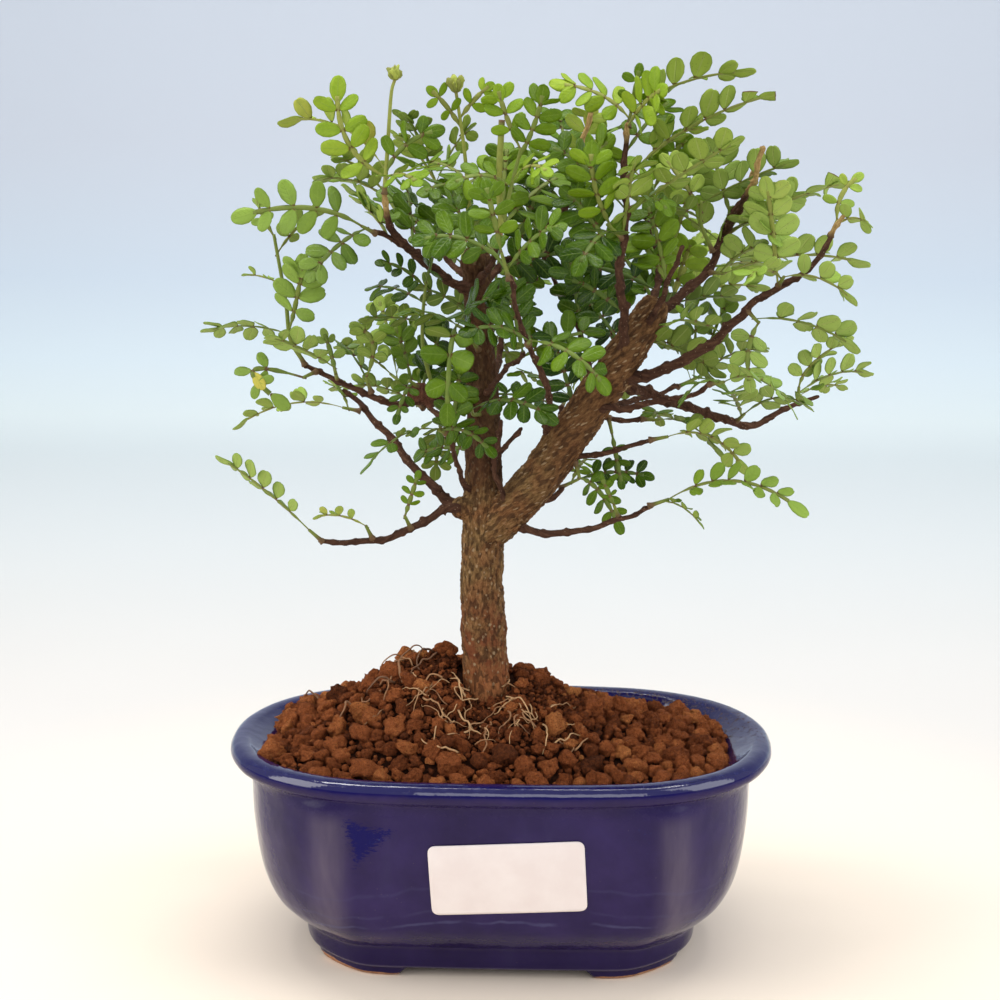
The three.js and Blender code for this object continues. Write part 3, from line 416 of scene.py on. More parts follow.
def pot_piece():
    profile = smooth_profile(POT_PROFILE)
    rings = [plan_ring(min(max(share, 0), 1), z, inset) for share, z, inset in profile]
    outer = int(np.argmax(profile[:, 1] > POT_HEIGHT - 0.2))
    for ring, z in zip(rings[:outer], profile[:, 1]):
        if z < FOOT_BAND:
            ring[:, 2] = np.maximum(foot_gap(ring[:, 0], ring[:, 1]) + 0.1 * z, z)
        ring[:, 0] *= 1 - FOOT_TAPER * (1 - smoothstep(*TAPER_HEIGHTS, z))
    edge = plan_ring(0, 0, POT_PROFILE[0][2]) * [1 - FOOT_TAPER, 1, 1]
    under = [edge * scale for scale in np.linspace(1, 0.02, 44)[1:]]
    for ring in under:
        ring[:, 2] = foot_gap(ring[:, 0], ring[:, 1])
    floor = [plan_ring(0, 1, POT_PROFILE[-1][2]) * [s, s, FLOOR_TOP] for s in (0.8, 0.55, 0.3, 0.05)]
    rows = under[::-1] + rings + floor
    glossy = [int(row[:, 2].mean() > RIM_GLAZE_HEIGHT) for row in rows[:-1]]
    patch = Patchwork()
    patch.add_rings(np.concatenate(rows), PLAN_POINTS, np.repeat(glossy, PLAN_POINTS))
    pot = patch.build("glazed_pot", [GLAZE, RIM_GLAZE])
    for side in (-1, 1):
        line = np.array([[side * HOLE_OFFSET, 0, z] for z in (-5, 2, 9, 15)], float)
        cutter = Patchwork()
        cutter.add_rings(tube(line, [HOLE_RADIUS] * len(line), HOLE_SIDES), HOLE_SIDES)
        tool = cutter.build("hole_tool", [GLAZE])
        cut = pot.modifiers.new("hole", "BOOLEAN")
        cut.operation = "DIFFERENCE"
        cut.object = tool
        apply_modifiers(pot)
        bpy.data.objects.remove(tool)
    return finish_piece(pot, "cobalt_glaze", "pot")


def apply_modifiers(piece):
    evaluated = piece.evaluated_get(bpy.context.evaluated_depsgraph_get())
    mesh = bpy.data.meshes.new_from_object(evaluated)
    piece.modifiers.clear()
    old = piece.data
    piece.data = mesh
    bpy.data.meshes.remove(old)


# Corners in x and z of the ragged patch on the front where the glaze shows pure
PATCH_CORNERS = [(-39.5, 49.8), (-26.5, 47.0), (-36.0, 36.5)]


def glaze_finish(name, reflection):
    f = Finish(name, roughness=0.1, Specular_IOR_Level=reflection)
    x, y, z = f.split()
    cloud = f.noise(0.05, 4, 0.6)
    streak = f.noise(1.0, 3, 0.6, f.stretch((0.12, 0.12, 0.02)))
    color = f.ramp(cloud, (0.3, (0.016, 0.009, 0.052)), (0.5, (0.022, 0.013, 0.070)),
                   (0.72, (0.030, 0.018, 0.090)))
    color = f.mix(f.range(streak, 0.5, 0.8, 0, 0.3), color, (0.036, 0.030, 0.094))
    # Painted highlight: pale bands on the upright ridges between front and sides, where the side lamps
    # reflect. Painted shade: a dark band under the rim
    ridge = f.range(f.size(f.sub(f.size(f.sub(x, 2.2)), 46.2)), 0, 8, 1, 0)
    ridge = f.mul(ridge, f.range(z, 53, 47), f.range(z, 6, 16), f.range(streak, 0.3, 0.7, 0.35, 0.8))
    color = f.mix(ridge, color, (0.112, 0.090, 0.132))
    # Painted shade in the cove under the overhanging rim
    under_rim_shade = f.mul(f.range(z, 51, 53.5), f.range(z, 56, 54.5))
    color = f.mix(f.mul(under_rim_shade, 0.25), color, (0.010, 0.006, 0.04))
    color = f.mix(f.range(z, 20, 3, 0, 0.45), color, (0.008, 0.003, 0.030))
    rim = f.range(f.add(z, f.mul(streak, 1.6)), 57.2, 58.8)
    color = f.mix(f.mul(rim, 0.9), color, (0.003, 0.002, 0.072))
    worn = f.mul(f.range(f.noise(0.5, 4, 0.7), 0.52, 0.7), f.range(z, 58.6, 59.7))
    color = f.mix(f.mul(worn, 0.3), color, (0.06, 0.07, 0.2))
    # A ragged patch where the glaze shows pure and deep blue
    inside = None
    centre = np.mean(PATCH_CORNERS, axis=0)
    for (x1, z1), (x2, z2) in zip(PATCH_CORNERS, PATCH_CORNERS[1:] + PATCH_CORNERS[:1]):
        normal = np.array([z1 - z2, x2 - x1]) / math.hypot(x2 - x1, z2 - z1)
        normal = normal * np.sign(normal @ (centre - [x1, z1]))
        side = f.sub(f.add(f.mul(x, float(normal[0])), f.mul(z, float(normal[1]))), float(normal @ [x1, z1]))
        inside = side if inside is None else f.math("MINIMUM", inside, side)
    ragged = f.noise(0.75, 7, 0.85, f.stretch((0.7, 1, 2.4)))
    inside = f.add(inside, f.sway(ragged, 15, 0.52))
    patch = f.mul(f.range(inside, 0.0, 0.35), f.range(y, -20, -30))
    color = f.mix(patch, color, (0.001, 0.0, 0.075))
    # Pale wavy water lines low on the wall
    bow = f.mul(f.math("POWER", f.size(f.sub(x, 8)), 2), 0.0016)
    level = f.add(f.add(z, bow), f.sway(f.noise(0.05, 3), 7))
    for height, share in ((20.8, 0.5), (31.5, 0.14), (24.6, 0.16)):
        away = f.size(f.sub(level, height))
        line = f.mul(f.range(away, 0.75, 0.1), f.range(f.noise(0.07, 3, 0.6), 0.36, 0.56))
        color = f.mix(f.mul(line, share), color, (0.075, 0.075, 0.17))
    flecks = f.mul(f.range(f.noise(0.9, 5, 0.8), 0.6, 0.7), f.range(f.noise(0.09, 2), 0.52, 0.62))
    flecks = f.mul(flecks, f.range(z, 34, 42), f.range(z, 51, 47))
    color = f.mix(f.mul(flecks, 0.5), color, (0.02, 0.05, 0.22))
    dust = f.mul(f.range(f.cells(0.55), 0.075, 0.03), f.range(f.noise(0.08), 0.48, 0.6))
    color = f.mix(f.mul(dust, 0.6), color, (0.17, 0.13, 0.12))
    # The edge of the ledge over the feet is paler
    ledge = f.mul(f.range(z, 2.55, 2.85), f.range(z, 3.7, 3.1))
    color = f.mix(f.mul(ledge, 0.55), color, (0.10, 0.085, 0.15))
    # Soil smears on the inside of the rim at the back and the right, and bare clay under the feet
    smear = f.range(f.noise(0.9, 5, 0.78), 0.53, 0.60)
    smear = f.mul(smear, f.range(f.add(y, f.mul(x, 0.55)), 26, 46), f.range(z, 50, 54))
    color = f.mix(f.mul(smear, 0.9), color, (0.055, 0.026, 0.014))
    bare = f.sub(f.add(z, f.mul(f.noise(0.35), 0.9)), f.range(x, -34, -50, 1.25, 2.0))
    bare = f.range(bare, 0.2, -0.15)
    color = f.mix(bare, color, f.ramp(f.noise(1.2, 4), (0.35, (0.30, 0.13, 0.06)), (0.7, (0.50, 0.27, 0.15))))
    rough = f.range(f.noise(0.4, 3), 0.3, 0.8, 0.05, 0.13)
    rough = f.add(rough, f.mul(f.range(z, 48, 52), f.range(z, 56, 54.5), 0.2))
    rough = f.mix(f.math("MAXIMUM", smear, bare), rough, (0.8, 0.8, 0.8))
    waves = f.bump(f.noise(0.11, 2, 0.5), 0.3, 1.2)
    pits = f.bump(f.cells(1.4), 0.05, 0.3, waves)
    return f.set(Base_Color=color, Roughness=rough, Normal=pits)


# ---- drain meshes ----

MESH_SIDE = 19
MESH_THICKNESS = 0.8
MESH_BARS = 13
# Gap under the mesh, and height and rate of the waves that make it look woven
MESH_GAP = 0.3
MESH_WAVE = 0.12
MESH_RATE = 4.3


def drain_piece(name, node, side):
    """Woven-look square mesh: crossing bars with square windows between them."""
    patch = Patchwork()
    centre = np.array([side * HOLE_OFFSET, 0, FLOOR_TOP + MESH_GAP + MESH_THICKNESS / 2])
    edges = np.linspace(-MESH_SIDE / 2, MESH_SIDE / 2, 2 * MESH_BARS)
    size = len(edges)
    grid = np.array([[x, y] for y in edges for x in edges])
    bulge = MESH_WAVE * np.cos(grid[:, 0] * MESH_RATE) * np.cos(grid[:, 1] * MESH_RATE)
    half = MESH_THICKNESS / 2 - MESH_WAVE
    top = np.column_stack([grid, half + bulge])
    bottom = np.column_stack([grid, -half + bulge])
    cells = {(i, j) for i in range(size - 1) for j in range(size - 1) if i % 2 == 0 or j % 2 == 0}
    faces = []
    for i, j in sorted(cells):
        corner = [j * size + i, j * size + i + 1, (j + 1) * size + i + 1, (j + 1) * size + i]
        faces.append(corner)
        faces.append([c + size * size for c in corner[::-1]])
        around = [(i, j - 1), (i + 1, j), (i, j + 1), (i - 1, j)]
        for k, cell in enumerate(around):
            if cell not in cells:
                a, b = corner[k], corner[(k + 1) % 4]
                faces.append([b, a, a + size * size, b + size * size])
    patch.add(np.vstack([top, bottom]) + centre, faces)
    return finish_piece(patch.build(name, [PLASTIC], smooth=False), "drain_plastic", node)


def plastic_finish():
    f = Finish("drain_plastic", roughness=0.5)
    color = f.ramp(f.noise(0.8, 4), (0.35, 0.008), (0.7, 0.025))
    return f.set(Base_Color=color, Normal=f.bump(f.noise(6, 3), 0.3, 0.1))


# ---- soil ----

# Height of the heap's ridge along x
HEAP = [
    (-70, 57), (-56, 62), (-42, 69), (-28, 78), (-16, 81), (-6, 75), (6, 76), (16, 70.5), (30, 65),
    (52, 59.5), (70, 54),
]
HEAP_MIDDLE = 5
HEAP_DEPTH = (40, 31)
SOIL_EDGE = POT_HEIGHT - 3.5


def soil_height(x, y):
    ridge = np.interp(x, [p[0] for p in HEAP], [p[1] for p in HEAP])
    away = np.asarray(y, float) - HEAP_MIDDLE
    away = np.minimum(np.abs(away) / np.where(away < 0, *HEAP_DEPTH), 1)
    edge = SOIL_EDGE - 1.5 * smoothstep(-3, 3, np.asarray(y, float))
    return edge + np.maximum(ridge - edge, 0) * (1 - away ** 1.4) + np.minimum(ridge - edge, 0)


def soil_bed_piece():
    """Fine dark soil under the granules, filling the pot."""
    inside = ((7.3, 17.2), (14, 11.5), (24, 7.5), (38, 5.8), (50, WALL))
    rings = [plan_ring(0, z, inset + 0.5) for z, inset in inside]
    edge = plan_ring(0, 0, WALL + 2.4)
    for scale in np.linspace(1, 0.03, 44):
        ring = edge * scale
        ring[:, 2] = soil_height(ring[:, 0], ring[:, 1]) - 1.6
        rough = [noise.fractal(Vector(p) * 0.45, 1.0, 2.0, 5) for p in ring]
        ring[:, 2] += np.array(rough) * (1.3 if scale < 0.97 else 0)
        rings.append(ring)
    patch = Patchwork()
    patch.add_rings(np.concatenate(rings), PLAN_POINTS)
    return finish_piece(patch.build("soil_bed", [FINE_SOIL]), "clay_granules", "soil")


def ball(level):
    """Points and faces of a subdivided icosahedron."""
    mesh = bmesh.new()
    bmesh.ops.create_icosphere(mesh, subdivisions=level, radius=1)
    points = np.array([v.co for v in mesh.verts])
    faces = np.array([[v.index for v in f.verts] for f in mesh.faces])
    mesh.free()
    return points, faces


# Flat faces that shape each crumb
CRUMB_CUTS = 9


def crumb_shapes(level, count, seed):
    """Angular crumbs with rounded corners and pits, as unit shapes."""
    draw = np.random.default_rng(seed)
    points, faces = ball(level)
    shapes = []
    for _ in range(count):
        cuts = draw.normal(size=(CRUMB_CUTS, 3))
        cuts /= np.linalg.norm(cuts, axis=1)[:, None]
        reach = draw.uniform(0.5, 0.92, CRUMB_CUTS)
        facing = points @ cuts.T
        flat = np.min(np.where(facing > 0.05, reach / np.maximum(facing, 0.05), np.inf), axis=1)
        radius = np.minimum(flat, 1.08)
        offset = draw.uniform(-50, 50, 3)
        coarse = np.array([noise.noise(Vector(p * 1.7 + offset)) for p in points])
        fine = np.array([noise.fractal(Vector(p * 3.8 + offset), 0.6, 2.0, 3) for p in points])
        shape = points * (radius + 0.24 * coarse + 0.20 * fine)[:, None]
        shapes.append(shape * draw.uniform(0.78, 1.16, 3))
    return shapes, faces


def random_turn(draw):
    q = draw.normal(size=4)
    w, x, y, z = q / np.linalg.norm(q)
    return np.array([
        [1 - 2 * (y * y + z * z), 2 * (x * y - z * w), 2 * (x * z + y * w)],
        [2 * (x * y + z * w), 1 - 2 * (x * x + z * z), 2 * (y * z - x * w)],
        [2 * (x * z - y * w), 2 * (y * z + x * w), 1 - 2 * (x * x + y * y)],
    ])


TRUNK_FOOT = np.array([-4.0, -1.0])
# Crumbs leave the trunk free, and are looked up in cells of this size
TRUNK_CLEAR = 7.8
GRID_CELL = 8


def scatter_crumbs(draw, packed, count, small, large, inset, lift, closeness, near):
    """Crumb centres and radii on the heap, kept apart by their radii, as found by dart throws.

    With a reach given in near, the crumbs lie only round the trunk's foot, and otherwise most of them
    leave its front free.
    """
    found = []
    half = np.array([RIM_HALF_WIDTH * 0.92 - inset, RIM_HALF_DEPTH * 0.95 - inset])
    skipped = 0.98 if large > 2.5 else 0.35
    grid = {}

    def cell(p):
        return tuple((p // GRID_CELL).astype(int))

    for radius, centre in packed:
        grid.setdefault(cell(centre), []).append((radius, centre))
    for _ in range(count * 9):
        if len(found) >= count:
            break
        spot = draw.uniform(-1, 1, 2)
        if abs(spot[0]) ** 4 + abs(spot[1]) ** 4 > 1:
            continue
        xy = spot * half
        radius = small + (large - small) * draw.uniform(0, 1) ** 1.6
        apart = np.linalg.norm((xy - TRUNK_FOOT) / np.array([1.25, 1.0]))
        if np.linalg.norm(xy - TRUNK_FOOT * [1, 0]) < TRUNK_CLEAR + radius:
            continue
        if near is not None and apart > near * draw.uniform(0.6, 1.2):
            continue
        if near is None and apart < 21 and xy[1] < 6 and draw.uniform() < skipped:
            continue
        z = float(soil_height(*xy)) + lift * radius + draw.uniform(-0.5, 0.7)
        centre = np.array([*xy, z])
        home = cell(centre)
        steps = product((-1, 0, 1), repeat=3)
        around = [crumb for step in steps for crumb in grid.get(tuple(np.add(home, step)), ())]
        if any(np.linalg.norm(centre - place) < closeness * (radius + other) for other, place in around):
            continue
        found.append((radius, centre))
        grid.setdefault(home, []).append((radius, centre))
    return found


def crumbs_piece(name, crumbs, shapes, faces, seed, dark):
    draw = np.random.default_rng(seed)
    patch = Patchwork()
    for radius, centre in crumbs:
        shape = shapes[draw.integers(len(shapes))] @ random_turn(draw).T
        shape = shape * [1, 1, 0.9] * radius + centre
        patch.add(shape, faces, tone=float(np.clip(draw.normal(0.5, 0.19) - dark, 0, 1)))
    return finish_piece(patch.build(name, [GRANULES]), "clay_granules")


# Name, seed and darkening, shapes as (level, count, seed), and for the scattering: most crumbs, least and
# greatest radius, distance from the wall, lift, closeness and reach round the trunk's foot
CRUMBS = [
    ("clay_granules_large", 11, 0.0, (3, 26, 5), (500, 2.2, 4.1, 7.3, 0.25, 0.80, None)),
    ("clay_granules_small", 12, 0.12, (2, 26, 6), (1750, 0.8, 2.1, 6.4, 0.3, 0.72, None)),
    ("clay_crumbs_fine", 13, 0.42, (1, 20, 7), (2900, 0.35, 1.1, 7.5, 0.3, 0.5, 24)),
]


def crumb_pieces():
    """Three sizes of crumbs, the smaller ones kept apart from the largest."""
    draw = np.random.default_rng(31)
    largest = []
    for name, seed, dark, shape, spread in CRUMBS:
        found = scatter_crumbs(draw, largest, *spread)
        crumbs_piece(name, found, *crumb_shapes(*shape), seed, dark)
        largest = largest or found


def granule_finish():
    f = Finish("clay_granules", roughness=0.95, Specular_IOR_Level=0.15)
    tone = f.attribute("tone")
    grain = f.noise(1.2, 7, 0.78)
    value = f.add(f.mul(tone, 0.55), f.sway(grain, 0.98, 0.18))
    color = f.ramp(
        value, (0.2, (0.040, 0.012, 0.0045)), (0.45, (0.205, 0.054, 0.016)),
        (0.66, (0.430, 0.122, 0.037)), (0.9, (0.70, 0.27, 0.08)),
    )
    pore = f.range(f.cells(1.7), 0.27, 0.12)
    color = f.mix(f.mul(pore, 0.85), color, (0.018, 0.007, 0.004))
    dust = f.range(f.noise(4.5, 3, 0.7), 0.62, 0.75)
    color = f.mix(f.mul(dust, 0.35), color, (0.36, 0.18, 0.08))
    rough = f.bump(grain, 1.0, 1.3)
    fine = f.bump(f.noise(3.4, 6, 0.8), 1.0, 0.7, rough)
    return f.set(Base_Color=color, Normal=f.bump(pore, -0.8, 0.4, fine))


def fine_soil_finish():
    f = Finish("fine_soil", roughness=0.96, Specular_IOR_Level=0.15)
    color = f.ramp(f.noise(1.1, 6, 0.75), (0.3, (0.022, 0.008, 0.005)), (0.6, (0.07, 0.024, 0.012)),
                   (0.8, (0.15, 0.052, 0.022)))
    return f.set(Base_Color=color, Normal=f.bump(f.noise(2.2, 6, 0.8), 1.0, 0.8))


# Name, seed, roots, tones, middle and spread in x and y, length, thickness and height of their arches
ROOTLETS = [
    ("bare_rootlets", 21, 48, (0.45, 0.95), (-3, -13), (11, 5), (5, 14), (0.16, 0.34), (0.2, 2.2)),
    ("dark_roots", 22, 20, (0.25, 0.65), (-27, 0), (9, 7), (6, 14), (0.22, 0.45), (1.0, 5.0)),
]
# Roots that leave this half width and depth are dropped
ROOT_LIMITS = (60, 34)


def rootlets_piece(name, seed, count, tone_range, middle, spread, length, thickness, arch):
    """Bare thin roots that wander over the soil round the trunk's foot."""
    draw = np.random.default_rng(seed)
    patch = Patchwork()
    for _ in range(count):
        # This draw isn't used; it keeps each root at its place
        draw.uniform()
        start = np.array(middle) + draw.normal(size=2) * spread
        heading = math.atan2(*(start - TRUNK_FOOT)[::-1]) + draw.normal() * 0.9
        reach = draw.uniform(*length)
        steps = max(5, int(reach / 1.1))
        lift = draw.uniform(*arch)
        xy = start.copy()
        points = []
        for i in range(steps + 1):
            share = i / steps
            heading += draw.normal() * 0.42
            xy = xy + reach / steps * np.array([math.cos(heading), math.sin(heading)])
            z = float(soil_height(*xy)) + 0.9 + lift * math.sin(math.pi * share) + 0.5 * draw.normal() * 0.5
            points.append([*xy, z])
        if (np.abs(points).max(axis=0)[:2] > ROOT_LIMITS).any():
            continue
        line, _ = smooth_line(points, 0.6)
        taper = draw.uniform(*thickness) * (1 - 0.6 * np.linspace(0, 1, len(line)))
        patch.add_rings(tube(line, taper, 6), 6, tone=draw.uniform(*tone_range))
    return finish_piece(patch.build(name, [ROOTLET]), "bark")


def rootlet_finish():
    f = Finish("rootlet", roughness=0.7)
    value = f.add(f.attribute("tone"), f.sway(f.noise(0.9, 4), 0.5))
    color = f.ramp(value, (0.1, (0.05, 0.02, 0.012)), (0.5, (0.30, 0.14, 0.058)), (0.85, (0.57, 0.34, 0.16)))
    return f.set(Base_Color=color, Normal=f.bump(f.noise(4, 4), 0.5, 0.15))


# ---- tree: the same lines as the solid model ----

BRANCHES = {
    "trunk": (
        [(-4, 0, 52), (-4, 0, 64), (-4, 0, 74), (-5, 0, 98), (-5, 2, 122), (-5, 5, 145), (-6, 9, 167),
         (-7, 8, 190)],
        [7.2, 9.2, 7.5, 6.8, 6.4, 5.4, 4.6, 4.1]),
    "limb": (
        [(-2, 0, 117), (3, -1, 124), (12, -4, 135), (19, -6, 146), (31, -7, 164), (40, -4, 178)],
        [5.2, 6.0, 6.2, 6.0, 5.6, 4.6]),
    "lowLeft": ([(-8, 0, 124), (-16, -3, 124), (-26, -8, 119), (-41, -14, 117), (-48, -16, 118)], [2.0, 0.9]),
    "left": ([(-7, 2, 122), (-15, 3, 125), (-24, 8, 134), (-37, 16, 146), (-45, 20, 153)], [2.6, 0.9]),
    "stubLeft": ([(-6, 4, 155), (-16, 0, 154), (-22, -3, 155)], [2.2, 2.4]),
    "midLeft": ([(-18, -2, 154), (-29, -6, 154), (-39, -8, 158), (-52, -11, 165)], [1.7, 0.9]),
    "topLeft": (
        [(-7, 6, 182), (-18, -6, 190), (-26, -16, 199), (-28, -19, 204), (-29, -20, 211)], [2.0, 1.0]),
    "topLeftFork": ([(-24, -13, 196), (-32, -20, 201)], [1.1, 0.8]),
    "backTopLeft": ([(-6, 8, 184), (-17, 18, 191), (-30, 34, 200)], [1.5, 0.8]),
    "topFront": ([(-6, 6, 185), (-1, -10, 194), (1, -19, 202)], [1.4, 0.8]),
    "topBack": ([(-6, 8, 184), (4, 20, 191), (17, 30, 204)], [1.6, 0.8]),
    "crossTwig": ([(-6, 8, 182), (3, 16, 183), (9, 26, 184)], [1.2, 0.8]),
    "frontTwig": ([(13, -6, 146), (13, -20, 161), (8, -29, 173), (4, -40, 192)], [1.5, 0.8]),
    "innerTwig": ([(-5, 5, 154), (0, -6, 161), (7, -24, 170)], [1.3, 0.8]),
    "backTwig": ([(26, -4, 156), (21, 12, 171), (11, 24, 188)], [1.4, 0.8]),
    "upright": (
        [(33, -8, 167), (32, -18, 186), (31, -18, 193), (33, -15, 205), (32, -12, 216), (33, -10, 228)],
        [1.9, 1.0]),
    "frontRight": ([(38, -6, 174), (42, -15, 183), (47, -27, 198)], [1.5, 0.8]),
    "highRight": (
        [(38, -5, 175), (49, 2, 183), (55, 5, 188), (60, 8, 199), (65, 9, 209), (69, 9, 221)], [2.2, 0.9]),
    "right": (
        [(31, -6, 160), (46, -13, 166), (61, -17, 177), (66, -18, 183), (80, -18, 192), (90, -15, 207)],
        [2.4, 0.8]),
    "lowRight": (
        [(31, -4, 160), (44, 7, 153), (60, 14, 147), (68, 17, 144), (78, 22, 148), (88, 26, 151)],
        [2.3, 0.8]),
    "frontLow": ([(24, -8, 153), (37, -19, 156), (50, -26, 160), (55, -29, 164)], [1.5, 0.8]),
    "twigRight": ([(23, -4, 151), (32, 6, 148), (39, 11, 147)], [1.3, 0.8]),
    "sideRight": ([(15, -5, 138), (28, -10, 142), (41, -15, 146)], [1.4, 0.8]),
    "shortRight": ([(7, -1, 126), (14, 5, 126), (17, 8, 128)], [1.5, 1.0]),
    "bottomRight": ([(1, -2, 120), (13, -11, 120), (26, -15, 123), (41, -18, 129)], [1.8, 0.8]),
    "crotchTwig": ([(-8, 0, 128), (-11, -8, 136), (-14, -17, 149)], [1.2, 0.8]),
    "bridgeTwig": ([(-3, 1, 136), (6, -10, 148)], [1.2, 0.8]),
    "backLeft": ([(-5, 3, 136), (-14, 22, 141), (-30, 46, 150)], [2.0, 0.8]),
    "backMiddle": ([(-6, 7, 150), (-2, 38, 160), (-3, 50, 171)], [1.9, 0.8]),
    "backRight": ([(18, -4, 145), (32, 26, 148), (50, 42, 151)], [2.0, 0.8]),
    "backHighRight": ([(31, -6, 163), (39, 30, 170), (52, 44, 180)], [1.9, 0.8]),
    "backHighLeft": ([(-7, 8, 186), (-9, 22, 193), (-18, 38, 204)], [1.5, 0.8]),
    "backTop": ([(36, -5, 171), (43, 26, 184), (39, 40, 200)], [1.8, 0.8]),
    "backLow": ([(9, -2, 132), (14, 20, 137), (16, 36, 146)], [1.7, 0.8]),
}
KNOTS = [
    ((-22, -3, 156), 3.2), ((-7, 8, 190), 4.6), ((-10, 0, 124), 5.0),
    ((4, -5, 121), 3.4), ((31, -10, 160), 3.2), ((40, -4, 178), 4.9),
]
FRONT = (0, -1, 0.25)
RISING = (0, -0.75, 0.65)
UP = (0, -0.35, 0.95)
LEFT_UP = (-0.5, -0.5, 0.7)

